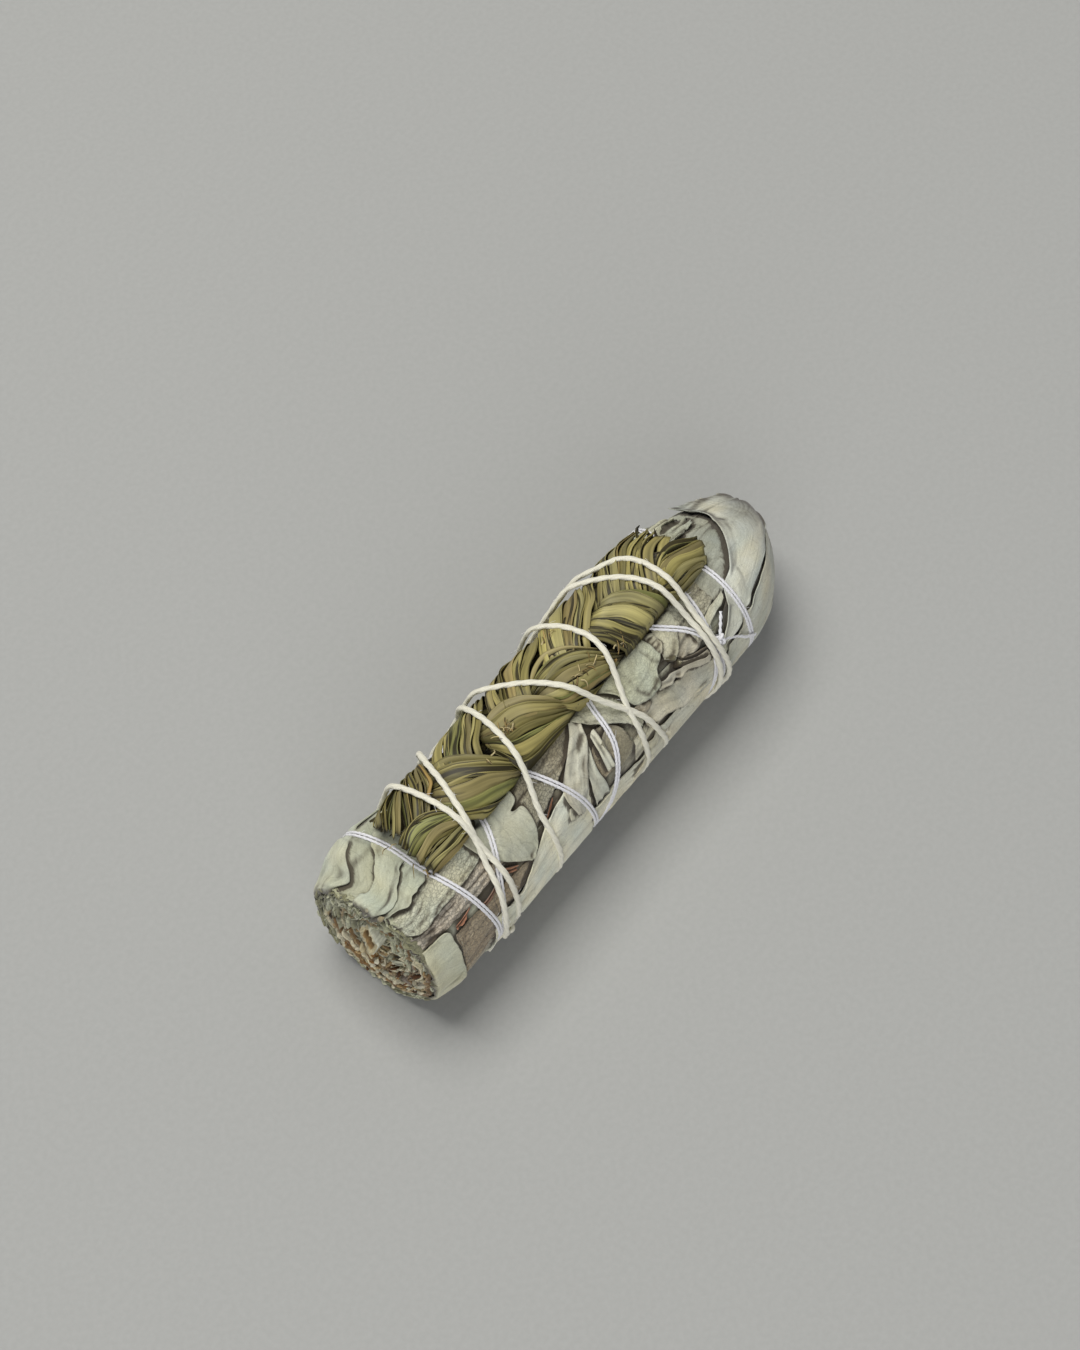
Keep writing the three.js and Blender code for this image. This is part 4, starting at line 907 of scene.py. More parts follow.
# ---- the plait: three strands of flat blades
strandForm = {"blades": 9, "halfBlade": 1.35, "thickness": 0.2, "step": 1.2, "square": 2.6, "drift": 0.8,
              "shingle": 0.13, "seed": 60}
bladeTints = ["#978d58", "#8b824e", "#9e945a", "#9b9463", "#aca263", "#777042",
              "#998958", "#87894e", "#b2a96e", "#92875a"]
turns = np.linspace(0, 2 * np.pi, 721)
corners = [np.sign(wave) * np.abs(wave) ** (2 / strandForm["square"])
           for wave in (np.cos(turns), np.sin(turns))]
oval = np.stack([plait["halfWidth"] * corners[0], plait["halfThickness"] * corners[1]], 1)
ovalArc = np.concatenate([[0], np.cumsum(np.linalg.norm(np.diff(oval, axis=0), axis=1))])
girth = ovalArc[-1]


def onOval(arc, depth):
    # the place at an arc length round a strand's section, moved in by a depth along the normal
    at = arc % girth
    u, v = np.interp(at, ovalArc, oval[:, 0]), np.interp(at, ovalArc, oval[:, 1])
    nextU, nextV = (np.interp((arc + 0.3) % girth, ovalArc, oval[:, k]) for k in (0, 1))
    lastU, lastV = (np.interp((arc - 0.3) % girth, ovalArc, oval[:, k]) for k in (0, 1))
    du, dv = nextU - lastU, nextV - lastV
    size = np.maximum(1e-6, np.hypot(du, dv))
    return u - depth * dv / size, v + depth * du / size


def strandPlace(index, x, u, v):
    # a point of a strand's section: the strand swings sin(turn) across and rises sin(2 turn), and its flat
    # section tilts as cos(3 turn)
    inside = np.clip(x, plait["startX"] + 1, plait["endX"])
    turn = 2 * np.pi * (inside - plait["lobeX"]) / plait["period"] + np.radians(240) + 2 * np.pi * index / 3
    past = (x - inside) * 2 * np.pi / plait["period"]
    tilt = np.radians(plait["tilt"]) * np.cos(3 * turn)
    side = plait["swing"] * (np.sin(turn) + past * np.cos(turn)) + u * np.cos(tilt) - v * np.sin(tilt)
    beyond = np.abs(past) * plait["period"] / (2 * np.pi)
    radius = (plaitMiddle + plait["rise"] * np.sin(2 * turn) * np.exp(-beyond / 4) + u * np.sin(tilt)
              + v * np.cos(tilt) - 0.1 * beyond)
    return place(x, plait["angle"] + np.degrees(side / plaitMiddle), radius)


def grassBlade(rng, index, arc, depth, startX, endX):
    # A blade of grass: a flat strip along the strand, its place round the section drifting with x, folded
    # a little along its rib, one margin tucked under the next blade, with slanting cut ends.
    rows = int((endX - startX) / strandForm["step"]) + 2
    s = np.linspace(0, 1, rows)[:, None]
    half = strandForm["halfBlade"] * rng.uniform(0.7, 1.15)
    e = np.array([-1, -0.55, 0, 0.55, 1]) * half
    narrow = 0.55 + 0.45 * smooth(s / 0.06) * smooth((1 - s) / 0.06)
    slants = rng.uniform(-0.9, 0.9, 2)
    at = startX + (endX - startX) * s + slants[0] * e * (1 - s) ** 30 + slants[1] * e * s ** 30
    phase = rng.uniform(0, 2 * np.pi, 3)
    drift = strandForm["drift"] * (np.sin(2 * np.pi * at / 37 + phase[0])
                                   + 0.3 * np.sin(2 * np.pi * at / 11 + phase[1]))
    round_ = arc + drift + e * narrow
    shingle = strandForm["shingle"] * e * rng.uniform(0.6, 1.3)
    rib = 0.1 * np.abs(e) / half + 0.05 * np.sin(2 * np.pi * at / 8 + phase[2])
    top = np.stack([*onOval(round_, depth + shingle + rib - strandForm["thickness"] / 2)], -1)
    under = np.stack([*onOval(round_, depth + shingle + rib + strandForm["thickness"] / 2)], -1)[:, ::-1]
    both = np.concatenate([top, under], 1)
    rings = strandPlace(index, np.concatenate([at, at[:, ::-1]], 1), both[..., 0], both[..., 1])
    browned = 0.55 * np.exp(-s / 0.025) + 0.45 * np.exp(-(1 - s) / 0.02) * rng.uniform(0.2, 1)
    # painted shade: these inner blades lie under the lobes and are darkened all over, more at their margins
    # and undersides; their cut ends are brown
    edges = np.array([0.4, 0.05, 0.12, 0.05, 0.4, 0.6, 0.5, 0.5, 0.5, 0.6])
    wearAndShade = np.clip(browned + edges * rng.uniform(0.5, 1.1) + 0.4, 0, 0.85)
    colour = linear(bladeTints[rng.integers(len(bladeTints))]) * rng.uniform(0.85, 1.2)
    fade = 1 + 0.12 * np.sin(2 * np.pi * at[:, :1] / rng.uniform(15, 40) + phase[1])
    tint = np.broadcast_to(colour, (rows, 10, 4)) * fade[..., None]
    return closedTube(rings, tint, wearAndShade)


def strandBed(index):
    # the strand's inner blades and middle, which the lobes lie on, the middle a dark brown that is painted
    # shade
    rng = np.random.default_rng(strandForm["seed"] + index)
    x = np.linspace(plait["startX"] + 1.5, plait["endX"] - 5, 90)[:, None]
    arcs = np.linspace(0, girth, 17)[None, :-1]
    u, v = onOval(arcs + 0 * x, 1.35 + 0 * x)
    parts = [closedTube(strandPlace(index, x + 0 * arcs, u, v), linear("#4d4426"), 0.6)]
    for k in range(strandForm["blades"]):
        arc = girth * (k + rng.uniform(-0.15, 0.15)) / strandForm["blades"]
        depth = 1.1 + rng.uniform(-0.05, 0.1)
        startX = plait["startX"] + rng.uniform(-1, 0.8)
        endX = plait["endX"] + rng.uniform(-5, -2.5)
        parts.append(grassBlade(rng, index, arc, depth, startX, endX))
    return parts


# Each lobe is where a strand passes over the others: strand, blades, how it begins and ends, and the outer
# and inner margins as (x, side) in mm, side being the arc from the plait's middle. "cut" is a free end.
lobes = [
    (1, 8, "cut", "under", [(-45.2, 5.4), (-43, 7.4), (-40, 8.8), (-36, 9.2), (-32, 9.0)], [(-46.2, -1.6),
     (-42, 0.7), (-39, 2.6), (-36.3, 5.2), (-33.5, 8.6)]),
    (0, 12, "cut", "under", [(-46.4, -9.3), (-43, -9.7), (-40, -9.4), (-37, -8.7), (-33.5, -8.2)],
     [(-47.2, -2.4), (-44, -1.3), (-41, -1.7), (-38, -3.2), (-35.0, -5.6), (-33.0, -7.6)]),
    (1, 11, "cut", "under", [(-44.6, -2.2), (-41.5, 0.6), (-38.5, 3.8), (-36, 6.2), (-33, 8.1),
     (-28, 8.9)], [(-40.0, -3.6), (-36.7, -1.4), (-34, 0.2), (-32.6, 2.0), (-31, 4.6), (-29, 7),
     (-26.5, 8.8)]),
    (0, 9, "under", "under", [(-38.2, -3.6), (-36.8, -6.2), (-33, -7.8), (-28, -8.7), (-24, -8.9),
     (-19, -8.8)], [(-32.6, 3.4), (-29.8, 2.2), (-27.5, 0.9), (-25.2, -1.4), (-23.3, -4), (-21.4, -6.4),
     (-18.5, -8.2)]),
    (2, 7, "under", "under", [(-32.2, -1.0), (-30.2, 2.2), (-27.5, 5), (-24, 7.4), (-20, 8.8),
     (-14, 8.9)], [(-25.0, -4.2), (-22.3, -1.2), (-19, 0.3), (-17.3, 1.3), (-15, 3.0), (-12.8, 5.6),
     (-10, 8.6)]),
    (2, 10, "under", "under", [(-22.0, -3.6), (-21.0, -7.6), (-17, -8.7), (-13, -8.9), (-9, -8.7),
     (-3.5, -8.4)], [(-20.4, 2.0), (-18, 0.9), (-15, 0.7), (-12.5, 0), (-10.3, -1.5), (-8, -4),
     (-5.5, -6.6), (-2.5, -8.0)]),
    (0, 7, "under", "under", [(-17.8, -2.2), (-15.5, 1.6), (-13, 4.8), (-10, 7.4), (-6, 8.8), (0, 8.9)],
     [(-10.4, -4.2), (-7.5, -1.2), (-4, 1.2), (-1, 2.3), (1.5, 4), (3.5, 6.5), (5.5, 8.8)]),
    (1, 12, "under", "under", [(-8.2, -4.0), (-6.2, -7.2), (-2, -8.5), (2, -8.8), (6, -9), (11, -9.2)],
     [(-9.6, -1.8), (-6, -0.1), (-3, 0.7), (-0.5, 0.6), (1.8, -0.6), (3.8, -2.4), (5.8, -4.8), (8, -6.8),
     (11, -8.2)]),
    (2, 7, "under", "under", [(-4.2, -3.0), (-1, 1.3), (1.5, 4), (4.5, 6.6), (9, 8.6), (14, 9)],
     [(3.8, -6.0), (6.8, -3.0), (9, -1.8), (12, -0.3), (15, 0.7), (17.5, 3), (19, 6), (21, 8.8)]),
    (0, 8, "under", "under", [(6.2, -0.6), (7.4, -3.6), (9.2, -6.8), (11.2, -8.8), (13.0, -9.9)],
     [(15.2, 0.4), (18.4, -1.9), (20.6, -3.8), (22.2, -6.2), (23.6, -8.6), (24.4, -10)]),
    (1, 12, "under", "cut", [(11.5, -1.2), (17.5, 3.6), (22.5, 7), (27.5, 8.6), (34.4, 9)], [(22.8, -8.0),
     (26.6, -5.0), (30, -3.3), (34.8, -1.6)]),
    (2, 10, "under", "cut", [(22.5, -6.4), (26.2, -9.3), (30, -9.9), (33.5, -10.4), (35.9, -10.8)],
     [(22.2, -4.8), (26.2, -3.5), (29, -2.7), (32.5, -3.1), (37.9, -5.0)]),
]
lobeForm = {"thickness": 0.22, "step": 0.7, "overlaps": (0.93, 1.1, 1.2, 1.3), "shingle": 0.27, "dip": 1.7,
            "crown": 2.9, "edge": 9.7, "cutDrop": 1.3, "tuck": 1.5, "seed": 640}


def crownRadius(side):
    # the face of the plait: nearly flat in the middle, rounding off to its edges
    round_ = np.maximum(0, 1 - np.abs(side / lobeForm["edge"]) ** 2.6)
    return (plaitMiddle - 0.25 + lobeForm["crown"] * round_ ** 0.8 - 2.2 * np.maximum(0, np.abs(side) - 8.9)
            - 0.8 * smooth((side - 4) / 5))


def lobe(blades, begins, ends, outerMargin, innerMargin, seed):
    # Blades side by side between two margins. Each is a strip folded or cupped across, tipped so that one
    # margin tucks under its neighbour, dipping where the lobe goes under the next one.
    rng = np.random.default_rng(seed)
    outerLine = evenly(throughPoints(outerMargin), 60, (1, 1))[0]
    past = np.sign(outerLine[:, 1]) * smooth((np.abs(outerLine[:, 1]) - 5) / 3.6)  # on down the plait's side
    outerLine[:, 1] += lobeForm["tuck"] * past
    innerLine, length = evenly(throughPoints(innerMargin), 60, (1, 1))
    rows = int(length / lobeForm["step"])
    profile = np.array([-1, -0.88, -0.7, 0, 0.7, 0.88, 1])
    widths = rng.uniform(0.5, 1.5, blades) ** 1.8
    stops = np.concatenate([[0], np.cumsum(widths)]) / widths.sum()
    parts = []
    for k in rng.permutation(blades):
        middle = (stops[k] + stops[k + 1]) / 2
        half = (stops[k + 1] - stops[k]) / 2 * rng.choice(lobeForm["overlaps"])
        s = np.linspace(0, 1, rows)[:, None]
        slant = rng.uniform(-0.05, 0.05, 2)
        short = rng.uniform(0, 0.09, 2) * [begins == "cut", ends == "cut"]
        path = short[0] + (1 - short[0] - short[1]) * s
        path = path + profile * (slant[0] * (1 - s) ** 8 * (begins == "cut")
                                 + slant[1] * s ** 8 * (ends == "cut"))
        phase = rng.uniform(0, 2 * np.pi, 4)
        t = middle + half * profile + 0.03 * np.sin(2 * np.pi * s * rng.uniform(0.6, 1.6) + phase[0])
        look = lambda line, k: np.interp(path.ravel(), np.linspace(0, 1, 60), line[:, k]).reshape(path.shape)
        x = look(outerLine, 0) * (1 - t) + look(innerLine, 0) * t
        side = look(outerLine, 1) * (1 - t) + look(innerLine, 1) * t
        dipping = ((begins == "under") * np.exp(-(path / 0.12) ** 2) * 0.65
                   + (ends == "under") * np.exp(-((1 - path) / 0.14) ** 2) * 1.5)
        cutDrop = lobeForm["cutDrop"] * ((begins == "cut") * np.exp(-(path / 0.3) ** 2)
                                         + (ends == "cut") * np.exp(-((1 - path) / 0.25) ** 2))
        fold = rng.choice([-1, 1], p=[0.35, 0.65]) * rng.uniform(0.05, 0.22) * (0.5 - np.abs(profile))
        wave = 0.07 * np.sin(2 * np.pi * s * rng.uniform(1, 3) + phase[1])
        wave = wave + 0.05 * np.sin(40 * s * rng.uniform(0.5, 1) + phase[2]) * profile
        top = (crownRadius(side) + 0.35 * np.sin(np.pi * path) - lobeForm["dip"] * dipping - cutDrop
               + fold + wave + lobeForm["shingle"] * profile * rng.uniform(0.1, 1.7)
               + rng.uniform(-0.12, 0.12))
        angle = plait["angle"] + np.degrees(side / plaitMiddle)
        rings = np.concatenate([place(x, angle, top),
                                place(x, angle, top - lobeForm["thickness"])[:, ::-1]], 1)
        brownEnd = ((begins == "cut") * 1.3 * np.exp(-s / 0.05)
                    + (ends == "cut") * 0.6 * np.exp(-(1 - s) / 0.02))
        # painted shade along the margin that tucks under the next blade, where the lobe dips under the next
        # one, and over the blades' undersides; the cut ends are brown
        edges = np.array([1.0, 0.75, 0.0, 0.0, 0.0, 0.0, 0.5])
        edges = edges * rng.choice([0.1, 0.45, 1.1], p=[0.4, 0.35, 0.25])
        wearAndShade = np.clip(edges + 0.6 * brownEnd + 0.7 * dipping, 0, 0.93)
        wearAndShade = np.concatenate([wearAndShade, np.full(wearAndShade.shape, 0.6)], 1)
        colour = linear(bladeTints[rng.integers(len(bladeTints))]) * rng.uniform(0.8, 1.25)
        fade = 1 + 0.1 * np.sin(2 * np.pi * s * rng.uniform(0.5, 1.5) + phase[3])
        tint = np.broadcast_to(colour, rings.shape[:2] + (4,)) * fade[..., None]
        parts.append(closedTube(rings, tint, wearAndShade))
    return parts


strandParts = [strandBed(index) for index in range(3)]
for number, (index, blades, begins, ends, outerMargin, innerMargin) in enumerate(lobes):
    strandParts[index] += lobe(blades, begins, ends, outerMargin, innerMargin, lobeForm["seed"] + number)


def looseBits(seed, places, tints, size):
    # frayed bits of grass: thin curled fibres at (x, side), each bent through three random points
    rng = np.random.default_rng(seed)
    parts = []
    for x, side, count, spreadX, spreadSide, heading in places:
        for _ in range(count):
            at = np.array([x, side]) + rng.uniform(-1, 1, 2) * (spreadX, spreadSide)
            turn = np.radians(heading + rng.normal(0, 28))
            lengths = rng.uniform(0.5, 1.5, (4, 1)) * size
            bends = [turn + np.linspace(0, rng.uniform(-2, 2), 4) for _ in range(2)]
            steps = lengths * np.stack([np.cos(bends[0]), np.sin(bends[1])], 1)
            route = throughPoints(at + np.cumsum(steps, 0), 5)
            s = np.linspace(0, 1, len(route))
            lift = (crownRadius(route[:, 1]) - 3.4 * smooth((-43.5 - route[:, 0]) / 2.5) + 0.25
                    + rng.uniform(0, 0.7) * np.sin(np.pi * s) + rng.uniform(0, 0.3))
            angle = plait["angle"] + np.degrees(route[:, 1] / plaitMiddle)
            width = rng.uniform(0.09, 0.24) * (1 - 0.5 * s[:, None, None])
            rings = carry(place(route[:, 0], angle, lift), outFrom(angle, 0.1), width * ringOf(5, 0.4))
            tint = linear(tints[rng.integers(len(tints))])
            parts.append(closedTube(rings, tint, rng.uniform(0, 0.3)))
    return parts


frayed = [  # x, side, how many, their spread both ways and heading in degrees
    (-18.2, -4, 22, 1.2, 0.9, 60), (-24, -2.5, 5, 1.5, 1.5, -50), (0, -6, 14, 3.2, 0.7, -15),
    (2, 2.0, 5, 1.5, 0.6, 40), (7.5, -8.2, 7, 2.0, 1.0, 0), (-45.5, -4, 8, 1.2, 4.5, 190)]
strandParts[2] += looseBits(5, frayed, ["#d3c18c", "#ab9058", "#dccb98", "#8d7444"], 0.55)
foldedBlade = [(-37.0, -1.1), (-35.2, -0.3), (-33.7, 0.5), (-32.7, 2.2), (-31.9, 3.8), (-31.1, 5.5)]


def bladeOver(route, width, tint):
    # one loose blade lying over the lobes
    line = evenly(throughPoints(route), 40, (1, 1))[0]
    angle = plait["angle"] + np.degrees(line[:, 1] / plaitMiddle)
    points = place(line[:, 0], angle, crownRadius(line[:, 1]) + 0.5)
    section = [(-1, 0), (-0.5, 0.12), (0, 0.2), (0.5, 0.12), (1, 0), (0.5, -0.12), (-0.5, -0.12)]
    return closedTube(carry(points, outFrom(angle), np.array(section) * width), linear(tint), 0.08)


strandParts[1].append(bladeOver(foldedBlade, 0.36, "#a98d50"))
for index in range(3):
    triangles += addPiece(f"grassStrand{index + 1}", strandParts[index], finish["grass"],
                          [f"grass_strand_{index + 1}"])


# ---- the bindings
def plyRing(sides, plies, twist, halfWidth, halfHeight):
    # the outline of several round plies side by side: the furthest of circles of radius 0.56 set 0.44 out,
    # turned by the twist, then pressed to the cord's width and height
    around = np.linspace(-0.5 * np.pi, 1.5 * np.pi, sides, endpoint=False)[None]
    centres = twist[:, None, None] + 2 * np.pi * np.arange(plies)[:, None] / plies
    turn = around[:, None] - centres
    reach = (0.44 * np.cos(turn) + np.sqrt(np.maximum(0, 0.56 ** 2 - (0.44 * np.sin(turn)) ** 2))).max(1)
    reach = 0.2 + 0.8 * np.maximum(reach, 0.35)
    return np.stack([halfWidth * reach * np.cos(around), halfHeight * reach * np.sin(around)], -1), reach


def cordAlong(line, radius, form, halfWidth, halfHeight, shift=0.0, phase=0.0):
    # a twisted cord along a route, at a radius and moved to one side
    points = place(line[:, 1], line[:, 0], radius)
    length = np.concatenate([[0], np.cumsum(np.linalg.norm(np.diff(points, axis=0), axis=1))])
    twist = 2 * np.pi * length / form["turnLength"] + phase
    section, reach = plyRing(form["sides"], form["plies"], twist, halfWidth, halfHeight)
    rings = carry(points, outFrom(line[:, 0]), section + np.array([shift, 0.0]))
    # painted shade in the grooves between the plies
    return closedTube(rings, linear(form["colour"]), np.clip(0.85 - reach, 0, 0.12))


def tieKnot(middle, out, size, cordRadius, colour):
    # an overhand knot: x = sin t + 2 sin 2t, y = cos t - 2 cos 2t, z = -1.3 sin 3t, drawn small and fat
    t = np.linspace(0, 2 * np.pi, 90)
    flat = np.stack([np.sin(t) + 2 * np.sin(2 * t), np.cos(t) - 2 * np.cos(2 * t), -1.3 * np.sin(3 * t)], 1)
    out = Vector(out).normalized()
    turned = np.array(out.to_track_quat("Z", "Y").to_matrix())
    line = (flat * size / 3) @ turned.T + middle
    outs = np.broadcast_to(np.array(out), line.shape) + 0.3 * (line - middle)
    return closedTube(carry(line, outs, cordRadius * ringOf(10)), linear(colour), 0.08)


def tail(form, points, radius, halfWidth, halfHeight, lift=0.3):
    line = evenly(throughPoints([[angle, x] for x, angle in points]), 50, (arcPerDegree, 1.0))[0]
    s = np.linspace(0, 1, 50)
    out = sageRadius(line[:, 1], line[:, 0]) + radius + lift * s ** 2
    return cordAlong(line, out, form, halfWidth, halfHeight)


threadKnot = {"at": (27.4, -61), "height": 0.75, "size": 1.0, "radius": 0.32,
              "tails": [[(27.4, -61), (28.6, -55), (30.6, -46)],
                        [(27.4, -61), (31.5, -72), (33.5, -80), (36.2, -88)]]}
stringKnot = {"at": (-37.9, -119), "height": 1.0, "size": 1.3, "radius": 0.45,
              "tails": [[(-37.9, -119), (-35.5, -121), (-33.4, -125)],
                        [(-37.9, -119), (-40, -123), (-42.6, -124)]]}


def knotParts(knot, form, halfWidth, halfHeight):
    x, angle = knot["at"]
    middle = place(x, angle, float(sageRadius(x, angle)) + knot["height"])
    parts = [tieKnot(middle, outFrom(angle), knot["size"], knot["radius"], form["colour"])]
    return parts + [tail(form, route, knot["height"] - 0.1, halfWidth, halfHeight) for route in knot["tails"]]


threadParts = [cordAlong(threadLine, threadRadius, thread, thread["radius"], thread["radius"],
                         side * thread["apart"], side) for side in (-1, 1)]
threadParts += knotParts(threadKnot, thread, thread["radius"] * 1.1, thread["radius"])
stringParts = [cordAlong(stringLine, stringRadius, string, string["halfWidth"], string["halfHeight"])]
stringParts += knotParts(stringKnot, string, string["halfWidth"], string["halfHeight"])


def looseFibres(line, radius, count, seed, colour, reach, halfWidth):
    # short curved hairs that stand off a cord: from its side, out and along, by a random swing
    rng = np.random.default_rng(seed)
    parts = []
    for start in rng.integers(2, len(line) - 12, count):
        s = np.linspace(0, 1, 5)
        swing = rng.uniform(-1, 1, 3)
        size = rng.uniform(0.6, 1.6) * reach
        side = np.sign(swing[0])
        x = line[start, 1] + side * 0.5 * halfWidth + size * swing[1] * s
        angle = line[start, 0] + (side * 0.5 * halfWidth + size * swing[2] * s) / arcPerDegree
        out = radius[start] + 0.1 + 0.55 * size * s * (1 - 0.6 * s) * rng.uniform(0.1, 1)
        points = place(x, angle, offFloor(angle, out, 0.05))
        parts.append(closedTube(carry(points, outFrom(angle, 0.1), 0.03 * ringOf(3)), linear(colour), 0.0))
    return parts


threadParts += looseFibres(threadLine, threadRadius, 260, 41, "#ffffff", 1.0, thread["radius"] * 2)
stringParts += looseFibres(stringLine, stringRadius, 360, 42, "#ffffff", 1.2, string["halfWidth"])
triangles += addPiece("whiteThread", threadParts, finish["thread"], ["white_thread"])
triangles += addPiece("creamString", stringParts, finish["string"], ["cream_string"])

# ---- the cut end: stems, and the cut edges of the leaves packed round them
stems = [  # y, height over the middle, radius, end
    (0.4, 3.2, 2.4, 30), (1.8, -6.3, 1.5, 22), (-4.2, -1.8, 1.6, 34), (-8.6, 1.6, 1.4, 18),
    (-10.2, -3.2, 1.1, 8), (-3, -8.2, 1.3, 26), (-6.9, -5.9, 1.2, 12), (5.6, -3.2, 1.2, 20),
    (-0.9, -3.0, 1.1, 6), (-5.2, 3.6, 1.1, 14), (1.4, -11.2, 1.0, 2), (-11.1, 7.0, 1.1, -10)]
stemForm = {"sides": 40, "seed": 80}
# the rings inside a stem's rim, each (share of the radius, depth), with their colours and wear; the hollow
# stalk's deep rings are near black, painted shade in its hole
hollowStalk = {"inside": [(0.02, 5.0), (0.5, 4.6), (0.55, 1.4), (0.62, 0.5)], "rimDepth": 0.4,
               "colours": ["#3f2d1b", "#3f2d1b", "#a3865a", "#a3865a"], "wearAndShade": [0.95, 0.9, 0.5, 0.1],
               "rim": "#d8cca6", "bark": "#dcdcc8", "slant": 0.42, "standsOut": 3.0}
pithyStem = {"inside": [(0.02, 0.5), (0.3, 0.35), (0.5, 0.15)], "rimDepth": 0.12,
             "colours": ["#d8cca6", "#d8cca6", "#d8cca6"], "wearAndShade": [0.1, 0.1, 0.1],
             "rim": "#b59a6c", "bark": "#8b7355", "slant": 0.0, "standsOut": 0.1}


def stemPart(index, y, height, radius, endX):
    # Rings along a stem: its bark ridged by cosines round it and narrowing along it, its cut face rough and
    # slanting. The first is a hollow stalk whose inner wall runs deep; the others have pith, a little sunk.
    rng = np.random.default_rng(stemForm["seed"] + index)
    kind = hollowStalk if index == 0 else pithyStem
    startX = bunch["cutX"] + 0.9 * abs(np.sin(3 * y + height)) - kind["standsOut"]
    around = np.linspace(0, 2 * np.pi, stemForm["sides"], endpoint=False)
    bark = 1 + 0.05 * np.cos(7 * around + rng.uniform(0, 6)) + 0.04 * np.cos(13 * around + rng.uniform(0, 6))
    profile = kind["inside"] + [(0.72, kind["rimDepth"]), (0.95, 0.0), (1.0, 0.25), (1.0, 1.0), (1.0, 4.0)]
    profile += [(1.0 - 0.2 * k / 10, 4 + (endX - startX - 4) * k / 10) for k in range(1, 11)]
    share, along = np.array(profile).T
    rough = np.exp(-along / 0.9) * (share > 0.1)
    torn = (0.5 * np.cos(around + rng.uniform(0, 6)) + 0.3 * np.cos(3 * around + rng.uniform(0, 6))
            + [jagged(rng, around * radius, 0.4, 0.9) for _ in profile])
    size = radius * share[:, None] * np.where(share[:, None] > 0.9, bark[None], 1.0)
    slant = kind["slant"] * np.exp(-along / 4)[:, None] * size * np.sin(around + 0.5)  # its mouth faces up
    x = startX + along[:, None] + rough[:, None] * torn * min(1.0, radius / 1.5) + slant
    rings = np.stack([x, y + size * np.cos(around), bunch["axisHeight"] + height + size * np.sin(around)], -1)
    barkRings = len(profile) - len(kind["inside"]) - 2
    colours = kind["colours"] + [kind["rim"]] * 2 + [kind["bark"]] * barkRings
    tint = np.array([linear(colour) for colour in colours])
    wearAndShade = np.concatenate([kind["wearAndShade"], [0.2, 0.15], np.linspace(0.1, 0.3, barkRings)])
    return closedTube(rings, tint[:, None], wearAndShade[:, None])


for index, stem in enumerate(stems):
    triangles += addPiece(f"stem{index + 1}", [stemPart(index, *stem)], finish["wood"],
                          [f"stem_{index + 1}"])

cutEdges = {"rings": 22, "firstRadius": 1.6, "lastRadius": 15.7, "step": 0.4, "thickness": 0.26, "seed": 20,
            "leafy": ["#b6b79b", "#c9cbb0", "#a3a389", "#8d8c70", "#c3c4a8", "#dadbc2"],
            "dry": ["#d5cdae", "#ac9673", "#e0d9bd", "#8f7450", "#b9a680", "#ded7ba"]}


def roundStems(y, z, clearance):
    # moves points out of the stems: each one nearer than radius plus clearance goes out to that distance
    for sy, sz, radius, _ in stems[:11]:
        away = np.hypot(y - sy, z - sz)
        keep = radius + clearance
        push = np.where(away < keep, keep / np.maximum(away, 1e-3), 1.0)
        y, z = sy + (y - sy) * push, sz + (z - sz) * push
    return y, z


